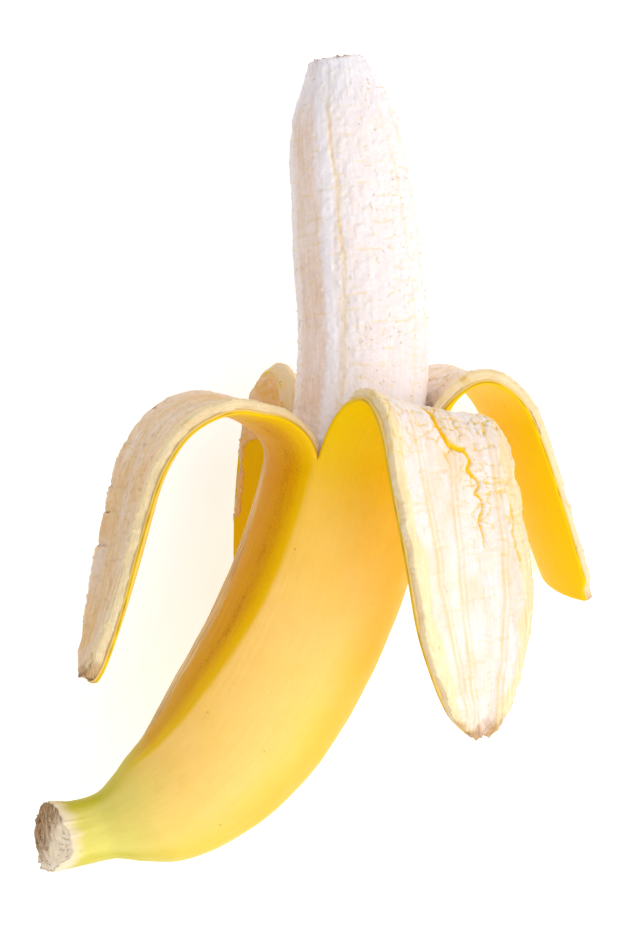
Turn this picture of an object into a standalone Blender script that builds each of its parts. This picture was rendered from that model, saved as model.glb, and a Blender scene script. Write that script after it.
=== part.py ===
"""A peeled banana lying on its back: the peel with its stem and four folded-back flaps, and the flesh.

The form is worked out in millimetres in a design frame. The banana's middle line is a flat curve in the
XY plane of that frame, running from the stem end to the top of the flesh, and +Z is the shown side.
Azimuth goes round the middle line: 0 is +Z, the shown side, and 90 is the outer, convex side.
The back flap is pressed flat under the banana: what would reach below the floor is flattened onto it.
The meshes are made in metres, standing on the XY plane and centred over the origin.
"""

import math
from dataclasses import dataclass

import bmesh
import bpy
import numpy as np

MM = 0.001
WELD = 1e-6  # metres: joins the borders of patches that share their points
TOWARD_VIEW = np.array([0.0, 0.0, 1.0])

# Middle line: heading in degrees against the distance along it, from the stem end.
MIDDLE_START = (-60.0, -83.0)
MIDDLE_HEADING = (
    (0, 5), (8, 14), (15, 18), (21, 23), (28, 30), (36, 42.5), (54, 55.7), (80, 66.3),
    (105, 75), (126, 81), (141, 88), (153, 94), (175, 95.5), (215, 98),
)
MIDDLE_STEP = 0.1

# Skin: mean radius along the middle line, and the ridges that make the section angular.
SKIN_RADIUS = (
    (0, 7.9), (8, 7.3), (12, 7.6), (18, 10.3), (24, 13.3), (32, 15.4), (42, 17.5), (56, 19.2),
    (80, 19.6), (132, 19.3),
)
STEM_CUT_SLANT = 4.2  # the stem's cut leans, so it is this much longer on the back than at the middle
RIDGE_ROUNDING = 0.05  # radians over which a ridge's crest is rounded

# Flesh: radius along the middle line, from its blunt lower end to the torn top.
FLESH_RADIUS = (
    (27, 4.0), (29, 7.0), (33, 10.0), (40, 12.4), (60, 14.5), (120, 14.7), (145, 14.85), (166, 14.5),
    (178, 14.0), (188.5, 13.2), (194, 12.3), (199.5, 10.7), (205, 8.3), (208, 7.0), (209.6, 6.2),
)
FLESH_GAP = 0.5  # clearance between the flesh and the peel round it
CAVITY_END = 26.6  # where the hollow of the peel stops short of the stem

FLAP_WALL = 3.6
FLAP_LEAD = 8.0  # a flap begins to leave the tube this far below the mean depth of its two splits
BLEND_RUN = 10.0  # distance over which it leaves

TURN_RUN = 60.0  # distance over which a flap takes up its sway
ROLL_START = 2.0
ROLL_RUN = 24.0  # and its roll, after the start
FLOOR = -33.4  # height of the floor in the design frame

# Mesh density.
COLUMNS = 10  # across one flap, so four times this round the tube
TUBE_ROWS = 20
CAVITY_ROWS = 12
TUBE_CROWDING = 1.2  # above 1, rows crowd towards the stem
CAVITY_CROWDING = 1.6
FLAP_ROWS = 22
FLESH_COLUMNS = 24
FLESH_ROWS = 22


@dataclass(frozen=True)
class Ridge:
    """A long ridge of the skin: azimuth in degrees against distance, height share, width in degrees."""

    azimuths: tuple
    height: float
    width: float


@dataclass(frozen=True)
class Split:
    """A tear between two flaps: its azimuth in degrees and how far along the tube its bottom lies."""

    azimuth: float
    depth: float


@dataclass(frozen=True)
class Flap:
    """A strip of peel folded out and down between two splits.

    Each station is the distance along the strip, the angle it has folded through, its curvature
    across (1/mm) and its half width. The sway turns it sideways, the roll turns it about its own
    length, and the slant makes its second side end further along than its first.
    """

    first: Split
    second: Split
    stations: tuple
    sway: float = 0.0
    roll: float = 0.0
    slant: float = 0.0

    @property
    def length(self):
        return self.stations[-1][0]

    @property
    def middle(self):
        return math.radians((self.first.azimuth + self.second.azimuth) / 2)

    @property
    def spread(self):
        return math.radians((self.second.azimuth - self.first.azimuth) / 2)

    @property
    def root(self):
        return (self.first.depth + self.second.depth) / 2 - FLAP_LEAD


RIDGES = (
    Ridge(((0, -70), (20, -62), (45, -40), (80, -29), (132, -21)), 0.050, 16),
    Ridge(((0, 70), (20, 62), (45, 42), (80, 26), (132, 22)), 0.022, 26),
    Ridge(((0, 100), (132, 100)), 0.050, 18),
    Ridge(((0, 172), (132, 172)), 0.040, 18),
    Ridge(((0, -112), (132, -112)), 0.050, 16),
)

SPLIT_FRONT = Split(-21.5, 116.0)
SPLIT_OUTER = Split(69.0, 128.0)
SPLIT_BACK = Split(156.5, 127.0)
SPLIT_INNER = Split(246.0, 121.0)

FLAPS = (
    Flap(
        Split(SPLIT_INNER.azimuth - 360, SPLIT_INNER.depth),
        SPLIT_FRONT,
        (
            (0, 0, 0.051, 15.5), (10, 60, 0.038, 15.4), (18, 90, 0.016, 15.3), (26, 128, 0.014, 15.2),
            (36, 161, 0.024, 14.9), (50, 176, 0.038, 13.7), (66, 173, 0.050, 12.0), (91, 167, 0.055, 5.5),
        ),
        sway=12,
    ),
    Flap(
        SPLIT_FRONT,
        SPLIT_OUTER,
        (
            (0, 0, 0.051, 15.6), (10, 34, 0.038, 15.6), (18, 66, 0.014, 15.6), (26, 120, 0.007, 15.6),
            (36, 159, 0.012, 15.5), (50, 170, 0.017, 15.4), (66, 188, 0.024, 14.6), (84, 197, 0.032, 10.5),
            (98, 200, 0.040, 5.0),
        ),
        sway=24,
    ),
    Flap(
        SPLIT_OUTER,
        SPLIT_BACK,
        (
            (0, 0, 0.051, 15.0), (10, -4, 0.040, 14.9), (18, 37, 0.020, 14.9), (26, 111, 0.010, 14.8),
            (36, 148, 0.020, 14.8), (50, 148, 0.030, 14.2), (77.5, 146, 0.037, 12.2),
        ),
        slant=-2.5,
    ),
    Flap(
        SPLIT_BACK,
        SPLIT_INNER,
        (
            (0, 0, 0.051, 15.4), (8, 20, 0.045, 15.3), (14, 76, 0.030, 15.3), (20, 134, 0.012, 15.2),
            (27, 182, 0.010, 15.1), (40, 183, 0.010, 14.5), (70, 181, 0.011, 11.0), (94, 179, 0.012, 5.5),
        ),
        sway=-5,
        roll=22,
    ),
)


def smooth_step(x):
    """0 to 1 with level ends: 3x^2 - 2x^3 between them."""
    x = np.clip(x, 0, 1)
    return x * x * (3 - 2 * x)


def curve_through(knots, x):
    """Monotone cubic through (position, value) knots, flat where the knots turn back."""
    at, value = np.array(knots, float).T
    gap = np.diff(at)
    rise = np.diff(value) / gap
    before = rise[:-1]
    after = rise[1:]
    weight_before = 2 * gap[1:] + gap[:-1]
    weight_after = gap[1:] + 2 * gap[:-1]
    same_way = before * after > 0
    safe_before = np.where(same_way, before, 1.0)
    safe_after = np.where(same_way, after, 1.0)
    mean = (weight_before + weight_after) / (weight_before / safe_before + weight_after / safe_after)
    slope = np.concatenate([rise[:1], np.where(same_way, mean, 0.0), rise[-1:]])
    x = np.asarray(x, float)
    i = np.clip(np.searchsorted(at, x) - 1, 0, len(gap) - 1)
    t = (x - at[i]) / gap[i]
    return (
        (2 * t**3 - 3 * t**2 + 1) * value[i]
        + (t**3 - 2 * t**2 + t) * gap[i] * slope[i]
        + (3 * t**2 - 2 * t**3) * value[i + 1]
        + (t**3 - t**2) * gap[i] * slope[i + 1]
    )


def integrate(rate, step):
    """Running sum of an (n, m) rate by the trapezium rule, starting at zero."""
    steps = (rate[1:] + rate[:-1]) / 2 * step
    return np.concatenate([np.zeros((1, rate.shape[1])), np.cumsum(steps, axis=0)])


def along(table_at, table, x):
    """Linear reading of an (n, m) table at x."""
    return np.stack([np.interp(x, table_at, column) for column in table.T], -1)


def middle_line():
    """Distances, points and headings of the middle line, finely spaced."""
    end = MIDDLE_HEADING[-1][0]
    at = np.linspace(0, end, round(end / MIDDLE_STEP) + 1)
    heading = np.radians(curve_through(MIDDLE_HEADING, at))
    flat = integrate(np.stack([np.cos(heading), np.sin(heading)], 1), MIDDLE_STEP)
    return at, flat + MIDDLE_START, heading


LINE_AT, LINE_POINTS, LINE_HEADINGS = middle_line()


def middle_frame(s):
    """Point, direction and outer side of the middle line at s. Below zero it runs straight on."""
    s = np.asarray(s, float)
    heading = np.interp(s, LINE_AT, LINE_HEADINGS)
    zero = np.zeros_like(heading)
    direction = np.stack([np.cos(heading), np.sin(heading), zero], -1)
    outer = np.stack([np.sin(heading), -np.cos(heading), zero], -1)
    point = np.concatenate([along(LINE_AT, LINE_POINTS, s), zero[..., None]], -1)
    point = point + np.minimum(s, 0)[..., None] * direction
    return point, direction, outer


def skin_radius(azimuth, s):
    """Mean radius times one plus the ridges, each a rounded peak that fades over its width."""
    s = np.clip(s, 0, SKIN_RADIUS[-1][0])
    shape = np.ones(np.broadcast(azimuth, s).shape)
    for ridge in RIDGES:
        at, degrees = np.array(ridge.azimuths, float).T
        width = math.radians(ridge.width)
        off = np.angle(np.exp(1j * (azimuth - np.radians(np.interp(s, at, degrees)))))
        rounded = np.sqrt(off**2 + RIDGE_ROUNDING**2) - RIDGE_ROUNDING
        shape = shape + ridge.height * (np.exp(-rounded / width) - width / math.pi)
    return curve_through(SKIN_RADIUS, s) * shape


def cavity_radius(s):
    """The hollow of the peel follows the flesh at the clearance."""
    lowest = FLESH_RADIUS[0][0]
    return curve_through(FLESH_RADIUS, np.maximum(s, lowest)) + FLESH_GAP


def round_the_line(azimuth, s, radius):
    """Points at a radius from the middle line, and their outward directions."""
    point, _, outer = middle_frame(s)
    out = np.sin(azimuth)[..., None] * outer + np.cos(azimuth)[..., None] * TOWARD_VIEW
    return point + radius[..., None] * out, out


def tube(azimuth, s, inner):
    """The closed part of the peel: its skin, or the wall of its hollow."""
    radius = cavity_radius(s) if inner else skin_radius(azimuth, s)
    return round_the_line(azimuth, s, radius)


def flap_path(flap, distance):
    """Middle of a flap's skin, its skin direction and its sideways direction at a distance from the root.

    The path leaves the tube along the middle line and folds outward through the stations' angles,
    while the sway turns it sideways and the roll turns its section.
    """
    stations = np.array(flap.stations, float)
    longest = flap.length + abs(flap.slant)
    at = np.linspace(0, longest, round(longest / MIDDLE_STEP) + 1)
    fold = np.radians(curve_through(stations[:, :2], at))
    sway = math.radians(flap.sway) * smooth_step(at / TURN_RUN)
    roll = math.radians(flap.roll) * smooth_step((at - ROLL_START) / ROLL_RUN)[:, None]
    point, ahead, outer = middle_frame(np.array(flap.root))
    out = math.sin(flap.middle) * outer + math.cos(flap.middle) * TOWARD_VIEW
    across = math.cos(flap.middle) * outer - math.sin(flap.middle) * TOWARD_VIEW
    heading = np.cos(fold)[:, None] * ahead + np.sin(fold)[:, None] * out
    direction = np.cos(sway)[:, None] * heading + np.sin(sway)[:, None] * across
    skin = -np.sin(fold)[:, None] * ahead + np.cos(fold)[:, None] * out
    side = np.cos(sway)[:, None] * across - np.sin(sway)[:, None] * heading
    rolled_skin = np.cos(roll) * skin + np.sin(roll) * side
    rolled_side = np.cos(roll) * side - np.sin(roll) * skin
    start = point + skin_radius(np.array(flap.middle), np.array(flap.root)) * out
    path = start + integrate(direction, at[1])
    return along(at, path, distance), along(at, rolled_skin, distance), along(at, rolled_side, distance)


def flap_surface(flap, share, distance, inner):
    """Point of a flap's skin, or of its pith, at a share across it (-1 to 1) and a distance along.

    Across, the strip is an arc of the stations' curvature. Near its root it is blended with the tube,
    and the blend starts later at the sides, at the depths of the two splits.
    """
    stations = np.array(flap.stations, float)
    path, skin, side = flap_path(flap, distance)
    curvature = curve_through(stations[:, [0, 2]], distance)
    reach = share * curve_through(stations[:, [0, 3]], distance)
    angle = curvature * reach
    outward = skin * np.cos(angle)[..., None] + side * np.sin(angle)[..., None]
    point = path + side * (np.sin(angle) / curvature)[..., None]
    point = point - skin * ((1 - np.cos(angle)) / curvature)[..., None]
    point = point - (FLAP_WALL if inner else 0.0) * outward
    on_tube, _ = tube(flap.middle + share * flap.spread, flap.root + distance, inner)
    depth = np.where(share < 0, flap.first.depth, flap.second.depth) - flap.root
    x = np.clip((distance - depth * np.abs(share) ** 3) / BLEND_RUN, 0, 1)
    edge = share**2
    blend = ((1 - edge) * smooth_step(x) + edge * (1 - (1 - x) ** 2))[..., None]
    return (1 - blend) * on_tube + blend * point


def split_line(flap, share):
    """Distance from the root of the line between the splits' bottoms, where the tube becomes the flap."""
    depths = (flap.first.depth, flap.second.depth)
    return np.interp(share, (-1, 1), depths) - flap.root


def folded_rows(flap, count):
    """Row positions from 0 to 1 along a flap, closer together where it folds faster."""
    stations = np.array(flap.stations, float)
    at = np.linspace(0, flap.length, 400)
    turning = np.abs(np.gradient(curve_through(stations[:, :2], at), at))
    weight = 0.8 + turning / turning.mean()
    run = integrate(weight[:, None], at[1])[:, 0]
    start = split_line(flap, np.array(0.0))
    run_share = np.linspace(np.interp(start, at, run), run[-1], count + 1)
    return (np.interp(run_share, run, at) - start) / (flap.length - start)


def tube_patch(flap, lowest, rows, crowding, inner):
    """Grid of the tube under one flap, from its lowest distances up to the line between the splits."""
    share, row = np.meshgrid(np.linspace(-1, 1, COLUMNS + 1), np.linspace(0, 1, rows + 1) ** crowding)
    azimuth = flap.middle + share * flap.spread
    start = lowest(azimuth)
    s = start + row * (flap.root + split_line(flap, share) - start)
    below = s < flap.root
    on_tube, _ = tube(azimuth, s, inner)
    on_flap = flap_surface(flap, share, np.maximum(s - flap.root, 0), inner)
    return np.where(below[..., None], on_tube, on_flap)


def flap_patch(flap, inner):
    """Grid of one flap, from the line between the splits to its tip."""
    share, row = np.meshgrid(np.linspace(-1, 1, COLUMNS + 1), folded_rows(flap, FLAP_ROWS))
    start = split_line(flap, share)
    end = flap.length + flap.slant * share
    return flap_surface(flap, share, start + row * (end - start), inner)


def stem_cut(azimuth):
    """Distance of the stem's slanting cut, shorter on the shown side."""
    return STEM_CUT_SLANT * np.cos(azimuth)


def cavity_floor(azimuth):
    """Distance of the level end of the hollow."""
    return np.full_like(azimuth, CAVITY_END)


class Patches:
    """Collects grids and fans of points, welds their shared borders and makes one closed mesh."""

    def __init__(self):
        self.points = []
        self.faces = []
        self.count = 0

    def grid(self, points):
        """Four-sided faces between neighbouring points of a (rows, columns, 3) grid."""
        rows, columns = points.shape[:2]
        index = self.count + np.arange(rows * columns).reshape(rows, columns)
        quads = np.stack([index[:-1, :-1], index[:-1, 1:], index[1:, 1:], index[1:, :-1]], -1)
        self.faces += quads.reshape(-1, 4).tolist()
        self.add(points.reshape(-1, 3))

    def strip(self, first, second):
        """Faces between two lines of points."""
        self.grid(np.stack([first, second]))

    def fan(self, ring):
        """Triangles from a closed ring to its centre."""
        index = self.count + np.arange(len(ring))
        centre = self.count + len(ring)
        self.faces += [[a, b, centre] for a, b in zip(index.tolist(), np.roll(index, -1).tolist())]
        self.add(np.vstack([ring, ring.mean(axis=0)]))

    def add(self, points):
        """Appends points and counts them."""
        self.points.append(points)
        self.count += len(points)

    def rest(self):
        """All the points, those below the floor flattened onto it."""
        points = np.vstack(self.points)
        points[:, 2] = np.maximum(points[:, 2], FLOOR)
        return points

    def mesh(self, name, origin):
        """The welded mesh in metres about an origin, with its faces pointing out."""
        shape = bmesh.new()
        corners = [shape.verts.new(p) for p in (self.rest() - origin) * MM]
        for face in self.faces:
            shape.faces.new([corners[i] for i in face])
        bmesh.ops.remove_doubles(shape, verts=shape.verts, dist=WELD)
        bmesh.ops.recalc_face_normals(shape, faces=shape.faces)
        made = bpy.data.meshes.new(name)
        shape.to_mesh(made)
        shape.free()
        made.shade_smooth()
        made.set_sharp_from_angle(angle=math.radians(40))
        return made


def peel_patches():
    """Skin, hollow, pith and torn edges of the whole peel."""
    patches = Patches()
    stem_ring = []
    floor_ring = []
    for flap in FLAPS:
        skin = tube_patch(flap, stem_cut, TUBE_ROWS, TUBE_CROWDING, inner=False)
        hollow = tube_patch(flap, cavity_floor, CAVITY_ROWS, CAVITY_CROWDING, inner=True)
        outside = flap_patch(flap, inner=False)
        pith = flap_patch(flap, inner=True)
        for grid in (skin, hollow, outside, pith):
            patches.grid(grid)
        for side in (0, -1):
            patches.strip(outside[:, side], pith[:, side])
        patches.strip(outside[-1], pith[-1])
        stem_ring.append(skin[0, :-1])
        floor_ring.append(hollow[0, :-1])
    patches.fan(np.vstack(stem_ring))
    patches.fan(np.vstack(floor_ring))
    return patches


def flesh_patches():
    """The flesh: rings round the middle line, closer together towards its ends."""
    patches = Patches()
    first = FLESH_RADIUS[0][0]
    last = FLESH_RADIUS[-1][0]
    turn = np.linspace(0, 1, FLESH_ROWS + 1)
    rows = first + (last - first) * (turn - 0.6 * np.sin(2 * math.pi * turn) / (2 * math.pi))
    azimuth, s = np.meshgrid(np.linspace(0, 2 * math.pi, FLESH_COLUMNS + 1), rows)
    surface, _ = round_the_line(azimuth, s, curve_through(FLESH_RADIUS, s))
    patches.grid(surface)
    for end in (0, -1):
        patches.fan(surface[end, :-1])
    return patches


def material(name, colour, roughness):
    """A plain finish."""
    made = bpy.data.materials.new(name)
    made.use_nodes = True
    shader = made.node_tree.nodes["Principled BSDF"]
    shader.inputs["Base Color"].default_value = (*colour, 1.0)
    shader.inputs["Roughness"].default_value = roughness
    shader.inputs["Metallic"].default_value = 0.0
    return made


def add_object(name, mesh, finish):
    """One named object of the scene."""
    mesh.materials.append(finish)
    made = bpy.data.objects.new(name, mesh)
    bpy.context.scene.collection.objects.link(made)
    return made


def main():
    """Clears the scene and makes the peel and the flesh."""
    for obj in list(bpy.data.objects):
        bpy.data.objects.remove(obj, do_unlink=True)
    peel = peel_patches()
    flesh = flesh_patches()
    every_point = np.vstack([peel.rest(), flesh.rest()])
    origin = (every_point.min(axis=0) + every_point.max(axis=0)) / 2
    origin[2] = FLOOR
    add_object("peel", peel.mesh("peel", origin), material("banana_peel", (0.89, 0.55, 0.06), 0.38))
    add_object("flesh", flesh.mesh("flesh", origin), material("banana_flesh", (0.88, 0.78, 0.66), 0.6))


main()
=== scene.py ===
"""Looks of a peeled banana: yellow skin, four linings of white pith, the bared flesh and its torn fibres.

The form is worked out in millimetres in a design frame. The banana's middle line is a flat curve in the
XY plane of that frame, running from the stem end to the top of the flesh, and +Z is the shown side.
Azimuth goes round the middle line: 0 is +Z, the shown side, and 90 is the outer, convex side.
"""

import logging
import math
from dataclasses import dataclass
from enum import Enum
from functools import cached_property

import bmesh
import bpy
import numpy as np
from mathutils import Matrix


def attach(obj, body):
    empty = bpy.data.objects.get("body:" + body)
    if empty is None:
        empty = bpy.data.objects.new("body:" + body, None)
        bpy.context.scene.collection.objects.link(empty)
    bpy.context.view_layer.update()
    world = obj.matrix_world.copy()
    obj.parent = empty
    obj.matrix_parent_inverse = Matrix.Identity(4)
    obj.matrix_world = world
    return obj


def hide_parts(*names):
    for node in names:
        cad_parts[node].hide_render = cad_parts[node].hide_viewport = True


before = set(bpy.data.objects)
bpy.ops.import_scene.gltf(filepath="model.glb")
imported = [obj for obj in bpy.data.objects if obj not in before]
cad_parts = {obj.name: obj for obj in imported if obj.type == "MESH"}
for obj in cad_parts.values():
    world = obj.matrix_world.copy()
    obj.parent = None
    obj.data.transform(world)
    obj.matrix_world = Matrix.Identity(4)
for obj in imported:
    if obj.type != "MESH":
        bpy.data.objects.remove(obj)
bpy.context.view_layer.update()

Array = np.ndarray
Socket = bpy.types.NodeSocket
Knots = tuple[tuple[float, ...], ...]
Colour = tuple[int, int, int]

LOG = logging.getLogger("peeled_banana")
MM = 0.001
DESIGN_CENTRE = np.array([0.77043733, 1.87047732, -33.4])  # design point that stands at the scene's origin
FLOOR = -33.4
TOWARD_VIEW = np.array([0.0, 0.0, 1.0])
WELD_STEPS = 2.0e4  # points closer than one part in this many of a millimetre are one point
TINY = 1e-9
SCATTER_FACTORS = (374761393, 668265263, 974634777)
SCATTER_MIX = 1274126177
LOW_32, LOW_24 = 0xFFFFFFFF, 0xFFFFFF
SKIN_GIRTH = 19.0  # millimetres of pattern for each radian round the skin
FLESH_GIRTH = 14.5


class Slot(Enum):
    """Finish slots of the part."""

    PEEL = "banana_peel"
    FLESH = "banana_flesh"


# ---------------------------------------------------------------- arithmetic of curves and noise


def smooth_step(x: Array) -> Array:
    """0 to 1 with level ends: 3x^2 - 2x^3 between them."""
    x = np.clip(x, 0, 1)
    return x * x * (3 - 2 * x)


def rise_between(x: Array, low: float, high: float) -> Array:
    """Smooth step that starts at low and is complete at high, either way round."""
    return smooth_step((x - low) / (high - low))


def bell(x: Array, width: float) -> Array:
    """Bell curve: e to the minus (x / width) squared."""
    return np.exp(-((x / width) ** 2))


def curve_through(knots: Knots, x: Array) -> Array:
    """Monotone cubic through knots, flat where the knots turn back.

    Args:
        knots: (position, value) pairs in rising order.
        x: positions to read.

    Returns:
        Values of the Hermite cubic whose slopes are weighted harmonic means of the neighbouring rises.
    """
    at, value = np.array(knots, float).T
    gap = np.diff(at)
    rise = np.diff(value) / gap
    before, after = rise[:-1], rise[1:]
    weight_before = 2 * gap[1:] + gap[:-1]
    weight_after = gap[1:] + 2 * gap[:-1]
    same_way = before * after > 0
    safe_before = np.where(same_way, before, 1.0)
    safe_after = np.where(same_way, after, 1.0)
    mean = (weight_before + weight_after) / (weight_before / safe_before + weight_after / safe_after)
    slope = np.concatenate([rise[:1], np.where(same_way, mean, 0.0), rise[-1:]])
    x = np.asarray(x, float)
    i = np.clip(np.searchsorted(at, x) - 1, 0, len(gap) - 1)
    t = (x - at[i]) / gap[i]
    return (
        (2 * t**3 - 3 * t**2 + 1) * value[i]
        + (t**3 - 2 * t**2 + t) * gap[i] * slope[i]
        + (3 * t**2 - 2 * t**3) * value[i + 1]
        + (t**3 - t**2) * gap[i] * slope[i + 1]
    )


def straight_through(knots: Knots, x: Array) -> Array:
    """Straight lines between (position, value) knots, level beyond them."""
    at, value = np.array(knots, float).T
    return np.interp(x, at, value)


def integrate(rate: Array, step: float) -> Array:
    """Running sum of an (n, m) rate by the trapezium rule, starting at zero."""
    steps = (rate[1:] + rate[:-1]) / 2 * step
    return np.concatenate([np.zeros((1, rate.shape[1])), np.cumsum(steps, axis=0)])


def unit(vectors: Array) -> Array:
    """Vectors divided by their lengths."""
    return vectors / np.maximum(np.linalg.norm(vectors, axis=-1, keepdims=True), TINY)


def along(table_at: Array, table: Array, x: Array) -> Array:
    """Linear reading of an (n, m) table at x."""
    return np.stack([np.interp(x, table_at, column) for column in table.T], -1)


def lattice(column: Array, row: Array, seed: int) -> Array:
    """Fixed scatter from 0 to 1 at whole numbers: their product with large ones, its bits folded over."""
    mixed = sum(part * factor for part, factor in zip((column, row, seed), SCATTER_FACTORS)) & LOW_32
    mixed = ((mixed ^ (mixed >> 13)) * SCATTER_MIX) & LOW_32
    return ((mixed ^ (mixed >> 16)) & LOW_24) / LOW_24


def scatter(number: int, seed: int, row: int = 0) -> Array:
    """One fixed value from 0 to 1 for each of a number of things."""
    index = np.arange(number)
    return lattice(index, index * 0 + row, seed)


def noise(x: Array, y: Array, seed: int, wrap: int = 0) -> Array:
    """Value noise from -1 to 1: lattice scatter blended by the smooth step between whole numbers.

    Args:
        x: first coordinate, in noise cells.
        y: second coordinate, in noise cells.
        seed: picks the scatter.
        wrap: number of cells after which the first coordinate repeats, 0 for never.

    Returns:
        Noise of the broadcast shape.
    """
    x, y = np.broadcast_arrays(np.asarray(x, float), np.asarray(y, float))
    column, row = np.floor(x).astype(np.int64), np.floor(y).astype(np.int64)
    u, v = smooth_step(x - column), smooth_step(y - row)
    following = column + 1
    if wrap:
        column, following = column % wrap, following % wrap
    low = lattice(column, row, seed) * (1 - u) + lattice(following, row, seed) * u
    high = lattice(column, row + 1, seed) * (1 - u) + lattice(following, row + 1, seed) * u
    return 2 * (low * (1 - v) + high * v) - 1


def fractal(x: Array, y: Array, seed: int, octaves: int = 3, wrap: int = 0) -> Array:
    """Sum of noises, each twice as fine and half as strong as the one before."""
    total = np.zeros(np.broadcast(x, y).shape)
    for octave in range(octaves):
        scale = 2**octave
        total = total + noise(x * scale, y * scale, seed + octave, wrap * scale) / scale
    return total


def cell_gap(x: Array, y: Array, seed: int) -> Array:
    """Width to the nearest border between scattered cells: second nearest seed distance less the nearest."""
    column, row = np.floor(x).astype(np.int64), np.floor(y).astype(np.int64)
    nearest = np.full(x.shape, 9.0)
    second = np.full(x.shape, 9.0)
    for step_x in (-1, 0, 1):
        for step_y in (-1, 0, 1):
            c, r = column + step_x, row + step_y
            reach = np.hypot(c + lattice(c, r, seed) - x, r + lattice(c, r, seed + 7) - y)
            second = np.minimum(second, np.maximum(reach, nearest))
            nearest = np.minimum(nearest, reach)
    return second - nearest


def reach_to_line(x: Array, y: Array, line: Knots) -> Array:
    """Distance from points to a line of straight pieces: the least over its pieces."""
    best = np.full(x.shape, 1e3)
    for (x0, y0), (x1, y1) in zip(line[:-1], line[1:]):
        run_x, run_y = x1 - x0, y1 - y0
        t = np.clip(((x - x0) * run_x + (y - y0) * run_y) / (run_x**2 + run_y**2), 0, 1)
        best = np.minimum(best, np.hypot(x - x0 - t * run_x, y - y0 - t * run_y))
    return best


# ---------------------------------------------------------------- form of the banana


@dataclass(frozen=True)
class MiddleLine:
    """The banana's middle line: heading in degrees against the distance along it, from the stem end."""

    start: tuple[float, float] = (-60.0, -83.0)
    headings: Knots = (
        (0, 5), (8, 14), (15, 18), (21, 23), (28, 30), (36, 42.5), (54, 55.7), (80, 66.3),
        (105, 75), (126, 81), (141, 88), (153, 94), (175, 95.5), (215, 98),
    )
    step: float = 0.1

    @cached_property
    def table(self) -> tuple[Array, Array, Array]:
        """Distances, points and headings, finely spaced: a point is the running sum of the directions."""
        end = self.headings[-1][0]
        at = np.linspace(0, end, round(end / self.step) + 1)
        heading = np.radians(curve_through(self.headings, at))
        flat = integrate(np.stack([np.cos(heading), np.sin(heading)], 1), self.step)
        return at, flat + self.start, heading

    def frame(self, s: Array) -> tuple[Array, Array, Array]:
        """Point, direction and outer side at a distance. Below zero the line runs straight on.

        Args:
            s: distances from the stem end in millimetres.

        Returns:
            Three arrays of (..., 3) vectors.
        """
        at, points, headings = self.table
        s = np.asarray(s, float)
        heading = np.interp(s, at, headings)
        zero = np.zeros_like(heading)
        direction = np.stack([np.cos(heading), np.sin(heading), zero], -1)
        outer = np.stack([np.sin(heading), -np.cos(heading), zero], -1)
        point = np.concatenate([along(at, points, s), zero[..., None]], -1)
        return point + np.minimum(s, 0)[..., None] * direction, direction, outer

    def round_about(self, azimuth: Array, s: Array, radius: Array) -> tuple[Array, Array]:
        """Points at a radius from the line, and their outward directions: sin outer plus cos shown side."""
        point, _, outer = self.frame(s)
        out = np.sin(azimuth)[..., None] * outer + np.cos(azimuth)[..., None] * TOWARD_VIEW
        return point + radius[..., None] * out, out


@dataclass(frozen=True)
class Ridge:
    """A long ridge of the skin: azimuth in degrees against distance, height share, width in degrees."""

    azimuths: Knots
    height: float
    width: float

    def off(self, azimuth: Array, s: Array) -> Array:
        """Angle from the ridge's crest in radians, between minus and plus half a turn."""
        return np.angle(np.exp(1j * (azimuth - np.radians(straight_through(self.azimuths, s)))))


@dataclass(frozen=True)
class PeelForm:
    """The closed part of the peel: its skin, its hollow and everything between them."""

    line: MiddleLine = MiddleLine()
    radii: Knots = (
        (0, 7.9), (8, 7.3), (12, 7.6), (18, 10.3), (24, 13.3), (32, 15.4), (42, 17.5), (56, 19.2),
        (80, 19.6), (132, 19.3),
    )
    ridges: tuple[Ridge, ...] = (
        Ridge(((0, -64), (20, -56), (45, -38), (80, -27), (132, -21)), 0.052, 15),
        Ridge(((0, 70), (20, 62), (45, 42), (80, 26), (132, 22)), 0.022, 26),
        Ridge(((0, 100), (132, 100)), 0.050, 18),
        Ridge(((0, 172), (132, 172)), 0.040, 18),
        Ridge(((0, -112), (132, -112)), 0.050, 16),
    )
    rounding: float = 0.045
    flesh_radii: Knots = (
        (27, 4.0), (29, 7.0), (33, 10.0), (40, 12.4), (60, 14.5), (120, 14.7), (145, 14.85), (166, 14.5),
        (178, 14.0), (188.5, 13.2), (194, 12.3), (199.5, 10.7), (205, 8.3), (208, 7.0), (209.6, 6.2),
    )
    gap: float = 0.5
    cavity_end: float = 26.6
    cut_slant: float = 4.2

    def skin_radius(self, azimuth: Array, s: Array) -> Array:
        """Mean radius times one plus the ridges, each a rounded peak that fades over its width."""
        s = np.clip(s, 0, self.radii[-1][0])
        shape = np.ones(np.broadcast(azimuth, s).shape)
        for ridge in self.ridges:
            width = math.radians(ridge.width)
            rounded = np.sqrt(ridge.off(azimuth, s) ** 2 + self.rounding**2) - self.rounding
            shape = shape + ridge.height * (np.exp(-rounded / width) - width / math.pi)
        return curve_through(self.radii, s) * shape

    def hollow_radius(self, s: Array) -> Array:
        """The hollow follows the flesh at the clearance."""
        return curve_through(self.flesh_radii, np.maximum(s, self.flesh_radii[0][0])) + self.gap

    def tube(self, azimuth: Array, s: Array, depth: Array) -> tuple[Array, Array]:
        """Points at a share of the wall's depth, from 0 on the skin to 1 on the hollow, and ways outward."""
        radius = (1 - depth) * self.skin_radius(azimuth, s) + depth * self.hollow_radius(s)
        return self.line.round_about(azimuth, s, radius)


@dataclass(frozen=True)
class Split:
    """A tear between two flaps: its azimuth in degrees and how far along the tube its bottom lies."""

    azimuth: float
    depth: float


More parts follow.
